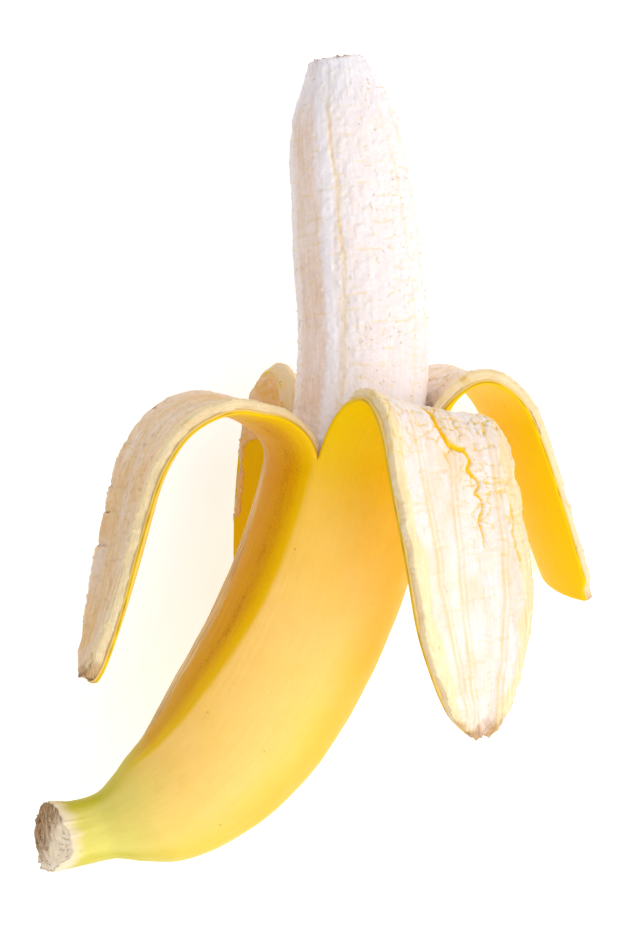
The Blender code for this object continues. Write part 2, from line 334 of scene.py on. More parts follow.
@dataclass(frozen=True)
class FlapForm:
    """A strip of peel folded out and down between two splits.

    Each station is the distance along the strip, the angle it has folded through, its curvature
    across (1/mm) and its half width. The sway turns it sideways, the roll turns it about its own
    length, and the slant makes its second side end further along than its first.
    """

    name: str
    peel: PeelForm
    first: Split
    second: Split
    stations: Knots
    sway: float = 0.0
    roll: float = 0.0
    slant: float = 0.0
    wall: float = 3.6
    lead: float = 8.0
    blend_run: float = 10.0
    turn_run: float = 60.0
    roll_start: float = 2.0
    roll_run: float = 24.0
    tip_run: float = 7.0
    tip_share: float = 0.3

    @property
    def length(self) -> float:
        """Distance from the root to the tip."""
        return self.stations[-1][0]

    @property
    def middle(self) -> float:
        """Azimuth of the strip's middle in radians."""
        return math.radians((self.first.azimuth + self.second.azimuth) / 2)

    @property
    def spread(self) -> float:
        """Half the angle between the two splits in radians."""
        return math.radians((self.second.azimuth - self.first.azimuth) / 2)

    @property
    def root(self) -> float:
        """Distance along the tube at which the strip begins to leave it."""
        return (self.first.depth + self.second.depth) / 2 - self.lead

    def azimuth(self, share: Array) -> Array:
        """Azimuth in radians at a share of the way from the middle to the splits."""
        return self.middle + share * self.spread

    def half_width(self, distance: Array) -> Array:
        """Half the strip's width in millimetres."""
        return curve_through(tuple((k[0], k[3]) for k in self.stations), np.clip(distance, 0, self.length))

    def narrow(self, distance: Array) -> Array:
        """Share of the width left near the tip, which is rounded like the end of an ellipse."""
        near = np.clip((distance - self.length + self.tip_run) / self.tip_run, 0, 1)
        return np.sqrt(1 - (1 - self.tip_share**2) * near**2)

    def split_line(self, share: Array) -> Array:
        """Distance from the root of the line between the splits' bottoms."""
        return np.interp(share, (-1, 1), (self.first.depth, self.second.depth)) - self.root

    @cached_property
    def path(self) -> tuple[Array, Array, Array, Array]:
        """Distances, middle points, skin directions and sideways directions of the strip, finely spaced.

        The path leaves the tube along the middle line and folds outward through the stations' angles,
        while the sway turns it sideways and the roll turns its section.
        """
        longest = self.length + abs(self.slant) + 2
        at = np.linspace(0, longest, round(longest / self.peel.line.step) + 1)
        fold = np.radians(curve_through(tuple(k[:2] for k in self.stations), np.minimum(at, self.length)))
        sway = math.radians(self.sway) * smooth_step(at / self.turn_run)
        roll = math.radians(self.roll) * smooth_step((at - self.roll_start) / self.roll_run)[:, None]
        point, ahead, outer = self.peel.line.frame(np.array(self.root))
        out = math.sin(self.middle) * outer + math.cos(self.middle) * TOWARD_VIEW
        across = math.cos(self.middle) * outer - math.sin(self.middle) * TOWARD_VIEW
        heading = np.cos(fold)[:, None] * ahead + np.sin(fold)[:, None] * out
        direction = np.cos(sway)[:, None] * heading + np.sin(sway)[:, None] * across
        skin = -np.sin(fold)[:, None] * ahead + np.cos(fold)[:, None] * out
        side = np.cos(sway)[:, None] * across - np.sin(sway)[:, None] * heading
        rolled_skin = np.cos(roll) * skin + np.sin(roll) * side
        rolled_side = np.cos(roll) * side - np.sin(roll) * skin
        start = point + self.peel.skin_radius(np.array(self.middle), np.array(self.root)) * out
        return at, start + integrate(direction, at[1]), rolled_skin, rolled_side

    def surface(self, share: Array, distance: Array, depth: Array) -> Array:
        """Points of the strip at a share across it, a distance along it and a share of its depth.

        Across, the strip is an arc of the stations' curvature. Near its root it is blended with the
        tube, and the blend starts later at the sides, at the depths of the two splits.

        Args:
            share: -1 at the first split to 1 at the second.
            distance: millimetres from the root; below zero it is the tube itself.
            depth: 0 on the skin, 1 on the pith.

        Returns:
            (..., 3) points in the design frame; Shape.make flattens those below the floor onto it.
        """
        share, distance, depth = np.broadcast_arrays(share, distance, depth)
        at, path, skin_table, side_table = self.path
        ahead = np.maximum(distance, 0)
        skin = along(at, skin_table, ahead)
        side = along(at, side_table, ahead)
        held = np.minimum(ahead, self.length)
        curvature = curve_through(tuple((k[0], k[2]) for k in self.stations), held)
        angle = curvature * share * self.half_width(held)
        outward = skin * np.cos(angle)[..., None] + side * np.sin(angle)[..., None]
        point = along(at, path, ahead) + side * (np.sin(angle) / curvature)[..., None]
        point = point - skin * ((1 - np.cos(angle)) / curvature)[..., None]
        point = point - (self.wall * depth)[..., None] * outward
        on_tube, _ = self.peel.tube(self.azimuth(share), self.root + distance, depth)
        split = np.where(share < 0, self.first.depth, self.second.depth) - self.root
        x = np.clip((distance - split * np.abs(share) ** 3) / self.blend_run, 0, 1)
        edge = np.minimum(share**2, 1)
        blend = ((1 - edge) * smooth_step(x) + edge * (1 - (1 - x) ** 2))[..., None]
        return (1 - blend) * on_tube + blend * point


SPLIT_FRONT = Split(-21.5, 116.0)
SPLIT_OUTER = Split(69.0, 128.0)
SPLIT_BACK = Split(156.5, 127.0)
SPLIT_INNER = Split(246.0, 121.0)
PEEL = PeelForm()
LEFT = FlapForm(
    "left", PEEL, Split(SPLIT_INNER.azimuth - 360, SPLIT_INNER.depth), SPLIT_FRONT,
    (
        (0, 0, 0.051, 15.5), (10, 60, 0.038, 15.4), (18, 90, 0.016, 15.3), (26, 128, 0.014, 15.2),
        (36, 161, 0.024, 14.9), (50, 176, 0.038, 13.7), (66, 173, 0.050, 12.0), (91, 167, 0.055, 5.5),
    ),
    sway=12,
)
FRONT = FlapForm(
    "front", PEEL, SPLIT_FRONT, SPLIT_OUTER,
    (
        (0, 0, 0.051, 15.6), (10, 34, 0.038, 15.6), (18, 66, 0.014, 15.6), (26, 120, 0.007, 15.6),
        (36, 159, 0.012, 15.5), (50, 170, 0.017, 15.4), (66, 188, 0.024, 14.6), (84, 197, 0.032, 10.5),
        (98, 200, 0.040, 5.0),
    ),
    sway=24,
    tip_share=0.62,
)
RIGHT = FlapForm(
    "right", PEEL, SPLIT_OUTER, SPLIT_BACK,
    (
        (0, 0, 0.051, 15.0), (10, -4, 0.040, 14.9), (18, 37, 0.020, 14.9), (26, 111, 0.010, 14.8),
        (36, 148, 0.020, 14.8), (50, 148, 0.030, 14.2), (77.5, 146, 0.037, 12.2),
    ),
    slant=-2.5,
    tip_run=3.0,
    tip_share=0.85,
)
BACK = FlapForm(
    "back", PEEL, SPLIT_BACK, SPLIT_INNER,
    (
        (0, 0, 0.051, 15.4), (8, 20, 0.045, 15.3), (14, 76, 0.030, 15.3), (20, 134, 0.012, 15.2),
        (27, 182, 0.010, 15.1), (40, 183, 0.010, 14.5), (70, 181, 0.011, 11.0), (94, 179, 0.012, 5.5),
    ),
    sway=-5,
    roll=22,
)
FLAPS = (LEFT, FRONT, RIGHT, BACK)


# ---------------------------------------------------------------- meshes


def ring_normals(points: Array) -> Array:
    """Unit normals of a (rows, columns, 3) grid: the slope along it crossed with the slope across it.

    Args:
        points: the grid, whose last column repeats its first.

    Returns:
        Normals that point away from the middle of each row.
    """
    ring = points[:, :-1]
    across = np.roll(ring, -1, axis=1) - np.roll(ring, 1, axis=1)
    across = np.concatenate([across, across[:, :1]], axis=1)
    normal = unit(np.cross(np.gradient(points, axis=0), across))
    away = points - ring.mean(axis=1, keepdims=True)
    return -normal if (normal * away).sum() < 0 else normal


class Shape:
    """Collects grids and fans of points with their marks, and makes one closed mesh of them."""

    def __init__(self, name: str, marks: tuple[str, ...]) -> None:
        """Starts an empty shape whose points carry the named marks."""
        self.name = name
        self.marks = marks
        self.points: list[Array] = []
        self.values: dict[str, list[Array]] = {mark: [] for mark in marks + ("place",)}
        self.quads: list[Array] = []
        self.triangles: list[Array] = []
        self.count = 0

    def add(self, points: Array, marks: dict[str, Array]) -> None:
        """Appends points with their marks; a mark that isn't given is zero."""
        self.points.append(points.reshape(-1, 3))
        for mark in self.marks:
            value = np.broadcast_to(marks.get(mark, 0.0), points.shape[:-1])
            self.values[mark].append(value.reshape(-1))
        place = np.broadcast_to(marks.get("place", np.zeros(3)), points.shape)
        self.values["place"].append(place.reshape(-1, 3))
        self.count += len(self.points[-1])

    def grid(self, points: Array, marks: dict[str, Array]) -> None:
        """Four-sided faces between neighbouring points of a (rows, columns, 3) grid."""
        rows, columns = points.shape[:2]
        index = self.count + np.arange(rows * columns).reshape(rows, columns)
        corners = [index[:-1, :-1], index[:-1, 1:], index[1:, 1:], index[1:, :-1]]
        self.quads.append(np.stack(corners, -1).reshape(-1, 4))
        self.add(points, marks)

    def fan(self, ring: Array, marks: dict[str, Array]) -> None:
        """Triangles from a closed ring to its centre."""
        index = self.count + np.arange(len(ring))
        centre = np.full(len(ring), self.count + len(ring))
        self.triangles.append(np.stack([index, np.roll(index, -1), centre], -1))
        extended = {}
        for name, value in marks.items():
            whole = np.broadcast_to(value, ring.shape if name == "place" else ring.shape[:1])
            extended[name] = np.concatenate([whole, whole.mean(axis=0, keepdims=True)])
        self.add(np.vstack([ring, ring.mean(axis=0)]), extended)

    def tube(self, points: Array, marks: dict[str, Array]) -> None:
        """A closed tube: the grid of its side and a fan on each of its end rings."""
        self.grid(points, marks)
        for end in (0, -1):
            self.fan(points[end, :-1], {name: value[end, :-1] for name, value in marks.items()})

    def make(self) -> bpy.types.Object:
        """Welds points that coincide, turns the faces outward and links the object.

        Returns:
            The object, at the origin, its mesh in metres with one float attribute for each mark.
        """
        points = np.vstack(self.points)
        points[:, 2] = np.maximum(points[:, 2], FLOOR)
        keys = np.round(points * WELD_STEPS).astype(np.int64)
        _, first, inverse = np.unique(keys, axis=0, return_index=True, return_inverse=True)
        inverse = inverse.reshape(-1)
        faces: list[list[int]] = []
        for block in self.quads + self.triangles:
            welded = inverse[block]
            ordered = np.sort(welded, axis=1)
            whole = (ordered[:, 1:] != ordered[:, :-1]).all(axis=1)
            faces += welded[whole].tolist()
        mesh = bpy.data.meshes.new(self.name)
        mesh.from_pydata(((points[first] - DESIGN_CENTRE) * MM).tolist(), [], faces)
        turned = bmesh.new()
        turned.from_mesh(mesh)
        bmesh.ops.recalc_face_normals(turned, faces=turned.faces)
        turned.to_mesh(mesh)
        turned.free()
        for mark in self.marks:
            layer = mesh.attributes.new(mark, "FLOAT", "POINT")
            layer.data.foreach_set("value", np.concatenate(self.values[mark])[first].astype(np.float32))
        layer = mesh.attributes.new("place", "FLOAT_VECTOR", "POINT")
        layer.data.foreach_set("vector", np.vstack(self.values["place"])[first].astype(np.float32).ravel())
        mesh.shade_smooth()
        made = bpy.data.objects.new(self.name, mesh)
        bpy.context.scene.collection.objects.link(made)
        return made


def place_at(across: Array, ahead: Array) -> Array:
    """Surface coordinates in millimetres, for patterns that follow the surface."""
    across, ahead = np.broadcast_arrays(across, ahead)
    return np.stack([across, ahead, np.zeros_like(across, dtype=float)], -1)


def register(piece: bpy.types.Object, slot: Slot, finish: bpy.types.Material, *nodes: str) -> None:
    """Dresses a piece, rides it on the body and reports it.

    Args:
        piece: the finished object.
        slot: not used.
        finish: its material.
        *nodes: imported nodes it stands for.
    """
    piece.data.materials.append(finish)
    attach(piece, "root")
    if nodes:
        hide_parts(*nodes)
    LOG.info("%s: %d faces", piece.name, len(piece.data.polygons))


# ---------------------------------------------------------------- shader building


def linear(colour: Colour) -> tuple[float, float, float, float]:
    """Display colour out of 255 to linear light: the usual screen curve undone."""
    share = [c / 255 for c in colour]
    return (*[c / 12.92 if c <= 0.04045 else ((c + 0.055) / 1.055) ** 2.4 for c in share], 1.0)


class Graph:
    """A node tree under construction. A text given for a value or factor stands for the mark of that name."""

    def __init__(self, tree: bpy.types.NodeTree) -> None:
        """Works on a tree."""
        self.tree = tree

    def node(self, kind: str, inputs: dict | None = None, **settings: object) -> bpy.types.Node:
        """Adds a node, sets its properties, and sets or links its inputs.

        Args:
            kind: the node's type name without its "ShaderNode" start.
            inputs: values or sockets by input name or number.
            **settings: node properties.

        Returns:
            The node.
        """
        made = self.tree.nodes.new("ShaderNode" + kind)
        for name, value in settings.items():
            setattr(made, name, value)
        for key, value in (inputs or {}).items():
            if isinstance(value, Socket):
                self.tree.links.new(value, made.inputs[key])
            else:
                made.inputs[key].default_value = value
        return made

    def read(self, value: object) -> object:
        """The socket of a mark when given its name, and anything else as it is."""
        if isinstance(value, str):
            return self.node("Attribute", attribute_name=value).outputs["Fac"]
        return value

    def math(self, operation: str, first: object, second: object) -> Socket:
        """One sum on two values."""
        return self.node("Math", {0: self.read(first), 1: self.read(second)}, operation=operation).outputs[0]

    def times(self, first: object, second: object) -> Socket:
        """Product of two values."""
        return self.math("MULTIPLY", first, second)

    def plus(self, first: object, second: object) -> Socket:
        """Sum of two values."""
        return self.math("ADD", first, second)

    def blend(self, factor: object, first: object, second: object, share: float = 1.0) -> Socket:
        """First tone where the factor is 0, second where it is 1.

        Args:
            factor: a socket or the name of a mark.
            first: a socket or a display colour.
            second: a socket or a display colour.
            share: how much of the factor counts.

        Returns:
            The blended tone.
        """
        factor = self.read(factor) if share == 1.0 else self.times(factor, share)
        first, second = (linear(tone) if isinstance(tone, tuple) else tone for tone in (first, second))
        inputs = {0: factor, 6: first, 7: second}
        return self.node("Mix", inputs, data_type="RGBA", clamp_factor=True).outputs[2]

    def ramp(self, value: object, low: float, high: float) -> Socket:
        """Smooth step of a value between low and high."""
        inputs = {"Value": value, "From Min": low, "From Max": high}
        return self.node("MapRange", inputs, interpolation_type="SMOOTHSTEP").outputs[0]

    def cloud(self, place: object, scale: float, detail: float, roughness: float = 0.5) -> Socket:
        """Soft noise over a place."""
        inputs = {"Vector": place, "Scale": scale, "Detail": detail, "Roughness": roughness}
        return self.node("TexNoise", inputs).outputs[0]

    def shrunk(self, place: object, size: object) -> Socket:
        """A place divided by a size, so that one unit of it is one size long."""
        inputs = {0: place, 3: self.math("DIVIDE", 1.0, size)}
        return self.node("VectorMath", inputs, operation="SCALE").outputs[0]


class Effects:
    """Shared effects, each a node group built once."""

    def __init__(self) -> None:
        """Builds the groups."""
        self.streaks = self._streaks()
        self.mottle = self._mottle()
        self.specks = self._specks()

    def _start(self, name: str, sockets: dict[str, float]) -> tuple[Graph, dict, Socket]:
        """Opens a group with a Place vector and named numbers going in, and one mask coming out."""
        tree = bpy.data.node_groups.new(name, "ShaderNodeTree")
        tree.interface.new_socket("Place", in_out="INPUT", socket_type="NodeSocketVector")
        for key, value in sockets.items():
            socket = tree.interface.new_socket(key, in_out="INPUT", socket_type="NodeSocketFloat")
            socket.default_value = value
        tree.interface.new_socket("Mask", in_out="OUTPUT", socket_type="NodeSocketFloat")
        start = tree.nodes.new("NodeGroupInput")
        end = tree.nodes.new("NodeGroupOutput")
        return Graph(tree), {s.name: s for s in start.outputs if s.name}, end.inputs[0]

    def _streaks(self) -> bpy.types.NodeTree:
        """Fine streaks along the strip: noise on coordinates divided by a width across and a length along."""
        graph, given, mask = self._start("lengthwise_streaks", {"Width": 0.6, "Length": 12.0})
        pitch = graph.node("CombineXYZ", {0: given["Width"], 1: given["Length"], 2: 1.0}).outputs[0]
        scaled = graph.node("VectorMath", {0: given["Place"], 1: pitch}, operation="DIVIDE").outputs[0]
        graph.tree.links.new(graph.ramp(graph.cloud(scaled, 1.0, 3.0, 0.6), 0.32, 0.68), mask)
        return graph.tree

    def _mottle(self) -> bpy.types.NodeTree:
        """Soft patches: noise at a size in millimetres, stepped about a threshold."""
        graph, given, mask = self._start("mottle", {"Size": 8.0, "Threshold": 0.5})
        cloud = graph.cloud(graph.shrunk(given["Place"], given["Size"]), 1.0, 4.0, 0.55)
        above = graph.math("SUBTRACT", cloud, given["Threshold"])
        graph.tree.links.new(graph.ramp(above, -0.14, 0.14), mask)
        return graph.tree

    def _specks(self) -> bpy.types.NodeTree:
        """Small round specks: cells whose distance to their seed is under a radius that varies by cell."""
        graph, given, mask = self._start("specks", {"Pitch": 3.0, "Radius": 0.15, "Share": 0.5})
        place = graph.shrunk(given["Place"], given["Pitch"])
        cells = graph.node("TexVoronoi", {"Vector": place, "Scale": 1.0})
        chance = graph.node("SeparateColor", {0: cells.outputs["Color"]}).outputs
        size = graph.times(given["Radius"], graph.plus(chance[0], 0.35))
        inside = graph.ramp(graph.math("DIVIDE", cells.outputs["Distance"], size), 1.0, 0.55)
        kept = graph.math("LESS_THAN", chance[1], given["Share"])
        graph.tree.links.new(graph.times(inside, kept), mask)
        return graph.tree


class Paint(Graph):
    """A material under construction, with the shared effects laid along the surface's own coordinates."""

    def __init__(self, effects: Effects, name: str, roughness: float, subsurface: float,
                 specular: float = 0.3) -> None:
        """Opens a material and sets the plain values of its Principled shader.

        Args:
            effects: the shared groups.
            name: the material's name.
            roughness: its roughness where nothing else feeds it.
            subsurface: share of light that enters and comes out nearby.
            specular: how strongly it mirrors light.
        """
        self.material = bpy.data.materials.new(name)
        self.material.use_nodes = True
        super().__init__(self.material.node_tree)
        self.effects = effects
        self.place = self.node("Attribute", attribute_name="place").outputs["Vector"]
        self.shader = self.tree.nodes["Principled BSDF"]
        plain = {
            "Roughness": roughness,
            "IOR": 1.42,
            "Specular IOR Level": specular,
            "Subsurface Weight": subsurface,
            "Subsurface Radius": (1.0, 0.75, 0.5),
            "Subsurface Scale": 0.0012,
        }
        for socket, value in plain.items():
            self.shader.inputs[socket].default_value = value

    def lay(self, effect: bpy.types.NodeTree, **values: float) -> Socket:
        """Places a shared effect on the surface."""
        return self.node("Group", {"Place": self.place, **values}, node_tree=effect).outputs[0]

    def streaks(self, width: float, length: float) -> Socket:
        """Streaks of a width and length in millimetres."""
        return self.lay(self.effects.streaks, Width=width, Length=length)

    def mottle(self, size: float, threshold: float = 0.5) -> Socket:
        """Patches of a size in millimetres."""
        return self.lay(self.effects.mottle, Size=size, Threshold=threshold)

    def specks(self, pitch: float, radius: float, share: float) -> Socket:
        """Specks at a pitch in millimetres, of a radius in pitches, in a share of their cells."""
        return self.lay(self.effects.specks, Pitch=pitch, Radius=radius, Share=share)

    def done(self, tone: object, height: object, depth: float, rough: object = None) -> bpy.types.Material:
        """Feeds the shader.

        Args:
            tone: the colour.
            height: relief from 0 to 1.
            depth: what a height of 1 stands for, in metres.
            rough: roughness, where it changes over the surface.

        Returns:
            The finished material.
        """
        bump = self.node("Bump", {"Height": height, "Distance": depth, "Strength": 1.0}).outputs[0]
        for name, value in (("Base Color", tone), ("Roughness", rough), ("Normal", bump)):
            if value is not None:
                self.tree.links.new(value, self.shader.inputs[name])
        return self.material


@dataclass(frozen=True)
class SkinFinish:
    """Ripe yellow skin with its gold facets, partly painted shade, a painted highlight on the shown side,
    green neck, brown specks and cut stem.
    """

    effects: Effects
    yellow: Colour = (249, 204, 46)
    # Pale: a painted highlight tone for the shown side of the tube.
    pale: Colour = (254, 211, 120)
    deep: Colour = (252, 212, 0)
    ochre: Colour = (240, 184, 36)
    # Gold of the facets past the gold line: partly the skin's own deeper gold, partly painted shade.
    gold_and_shade: Colour = (216, 157, 0)
    # Strip: a light tan that is a painted highlight, streaked with a dark brown.
    strip: Colour = (240, 212, 152)
    strip_dark: Colour = (166, 124, 56)
    shade: Colour = (238, 180, 48)
    green: Colour = (200, 190, 40)
    lime: Colour = (236, 222, 116)
    bruise: Colour = (224, 170, 66)
    wood: Colour = (204, 166, 126)
    bark: Colour = (124, 92, 56)
    fibre: Colour = (255, 240, 226)
    peach: Colour = (255, 234, 190)
    dark: Colour = (84, 58, 28)
    freckle: Colour = (158, 102, 12)
    cut_edge: Colour = (246, 208, 128)
    rim: Colour = (150, 92, 20)

    def make(self) -> bpy.types.Material:
        """Builds the material: each tone is blended over the last by its mark."""
        paint = Paint(self.effects, "banana_skin", roughness=0.42, subsurface=0.0, specular=0.10)
        fine = paint.mottle(2.4)
        streaks = paint.streaks(0.8, 16.0)
        strands = paint.streaks(0.45, 5.0)
        patches = paint.times(paint.math("SUBTRACT", paint.mottle(16.0), 0.5), 0.22)
        # Pale over yellow on the shown side below the flaps: a painted highlight, broken up by soft patches.
        tone = paint.blend(paint.plus("painted_sheen", patches), self.yellow, self.pale)
        tone = paint.blend("deep", tone, self.deep)
        tone = paint.blend(streaks, tone, self.ochre, 0.10)
        # The facets in gold, lightly streaked: partly the skin's colour, partly painted shade.
        tone = paint.blend(paint.times("gold_and_shade", paint.plus(0.88, paint.times(streaks, 0.14))), tone, self.gold_and_shade)
        # The strip towards the inner side: dark brown streaked with light tan, the tan a painted highlight.
        tone = paint.blend("strip", tone, paint.blend(streaks, self.strip_dark, self.strip))
        tone = paint.blend("shade", tone, self.shade)
        tone = paint.blend("green", tone, paint.blend("lime", self.green, self.lime))
        tone = paint.blend(paint.mottle(5.0, 0.62), tone, self.bruise, 0.10)
        tone = paint.blend(paint.specks(5.5, 0.07, 0.34), tone, self.freckle, 0.45)
        tone = paint.blend(paint.times(paint.specks(0.42, 0.5, 0.8), "freckle"), tone, self.freckle)
        tone = paint.blend(paint.times("crease", paint.plus(0.3, paint.times(fine, 0.7))), tone, self.freckle)
        bark = paint.blend(strands, self.wood, self.bark)
        wood = paint.blend("bark", paint.blend(strands, self.fibre, self.peach), bark)
        flecks = paint.times(paint.specks(0.7, 0.36, 0.5), paint.plus(0.08, paint.times("bark", 0.5)))
        tone = paint.blend("stem", tone, paint.blend(flecks, wood, self.dark))
        tone = paint.blend("cut_edge", tone, self.cut_edge)
        tone = paint.blend("rim", tone, self.rim)
        rough = paint.plus(paint.plus(0.36, paint.times(fine, 0.1)), paint.times("stem", 0.35))
        height = paint.plus(paint.times(streaks, 0.5), paint.cloud(paint.place, 2.2, 3.0))
        return paint.done(tone, paint.plus(height, paint.times(strands, "stem")), 0.00006, rough)


@dataclass(frozen=True)
class PithFinish:
    """White pith with yellowish torn edges, veins, yellow cracks, browned tips and beige painted shade."""

    effects: Effects
    white: Colour = (252, 239, 238)
    cream: Colour = (253, 232, 204)
    straw: Colour = (250, 226, 184)
    # Beige and its lighter grains: painted shade over the linings.
    beige: Colour = (250, 206, 154)
    beige_light: Colour = (250, 222, 184)
    edge: Colour = (255, 237, 200)
    edge_shade: Colour = (255, 223, 168)
    edge_grain: Colour = (253, 226, 168)
    vein: Colour = (244, 206, 128)
    crack: Colour = (255, 206, 0)
    speck: Colour = (206, 160, 92)
    brown: Colour = (168, 118, 66)
    rust: Colour = (196, 150, 96)

    def make(self) -> bpy.types.Material:
        """Builds the material: fibres run along the strip, and each mark lays its colour over them."""
        paint = Paint(self.effects, "banana_pith", roughness=0.62, subsurface=0.12)
        fibres = paint.streaks(0.7, 9.0)
        grains = paint.mottle(0.9)
        tone = paint.blend(paint.mottle(5.0), self.white, self.cream, 0.4)
        tone = paint.blend(fibres, tone, self.straw, 0.22)
        # Beige by its mark: painted shade, grainy.
        tone = paint.blend("beige", tone, paint.blend(grains, self.beige, self.beige_light, 0.5))
        tone = paint.blend("wrinkle", tone, self.vein, 0.3)
        tone = paint.blend("vein", tone, self.vein, 0.85)
        border = paint.blend(fibres, self.edge, self.edge_shade)
        tone = paint.blend("edge", tone, paint.blend(grains, border, self.edge_grain, 0.4))
        tone = paint.blend("crack", tone, self.crack)
        tone = paint.blend(paint.specks(2.2, 0.16, 0.3), tone, self.speck, 0.35)
        tone = paint.blend("brown", tone, paint.blend(grains, self.brown, self.rust))
        rough = paint.plus(0.52, paint.times(grains, 0.16))
        height = paint.plus(paint.cloud(paint.place, 3.2, 4.0), paint.times(fibres, 0.7))
        return paint.done(tone, height, 0.00014, rough)


@dataclass(frozen=True)
class FleshFinish:
    """Creamy flesh with yellowish seams, pale cross lines, tan streaks and painted shade on one facet, and a
    torn top.
    """

    effects: Effects
    cream: Colour = (251, 239, 240)
    light: Colour = (253, 246, 253)
    beige: Colour = (234, 210, 180)
    straw: Colour = (240, 216, 186)
    seam: Colour = (246, 216, 150)
    cross: Colour = (246, 220, 160)
    # Tan of one facet: its streaks are the flesh's own, its steady part is painted shade.
    tan_and_shade: Colour = (224, 174, 112)
    speck: Colour = (226, 190, 120)
    brown: Colour = (170, 122, 78)

    def make(self) -> bpy.types.Material:
        """Builds the material: base cream, then the marks, then specks and the brown top."""
        paint = Paint(self.effects, "banana_flesh_finish", roughness=0.55, subsurface=0.25)
        grains = paint.mottle(0.7)
        streaks = paint.streaks(0.9, 11.0)
        tone = paint.blend(paint.mottle(7.0), self.cream, self.light, 0.5)
        tone = paint.blend(grains, tone, self.beige, 0.16)
        tone = paint.blend(streaks, tone, self.straw, 0.14)
        tone = paint.blend("cross", tone, self.cross, 0.6)
        # Tan on one facet: a steady share that is painted shade, and streaks of the flesh's own.
        tone = paint.blend(paint.times("tan_and_shade", paint.plus(0.32, paint.times(streaks, 0.26))), tone, self.tan_and_shade)
        tone = paint.blend("seam", tone, self.seam, 0.75)
        tone = paint.blend("white", tone, self.light)
        tone = paint.blend(paint.specks(2.6, 0.13, 0.3), tone, self.speck, 0.45)
        tone = paint.blend("brown", tone, self.brown)
        rough = paint.plus(0.46, paint.times(grains, 0.16))
        height = paint.plus(paint.cloud(paint.place, 2.6, 4.0), paint.times(streaks, 0.5))
        return paint.done(tone, height, 0.00012, rough)


@dataclass(frozen=True)
class ShredFinish:
    """Dry or moist torn fibres, from one tone at the root to another at the end."""

    effects: Effects
    name: str
    root: Colour
    end: Colour

    def make(self) -> bpy.types.Material:
        """Builds the material: the mark "end" runs from root to end along each shred."""
        paint = Paint(self.effects, self.name, roughness=0.7, subsurface=0.1)
        grains = paint.mottle(0.5)
        tone = paint.blend(grains, paint.blend("end", self.root, self.end), self.end, 0.3)
        return paint.done(tone, grains, 0.00005)


# ---------------------------------------------------------------- pieces


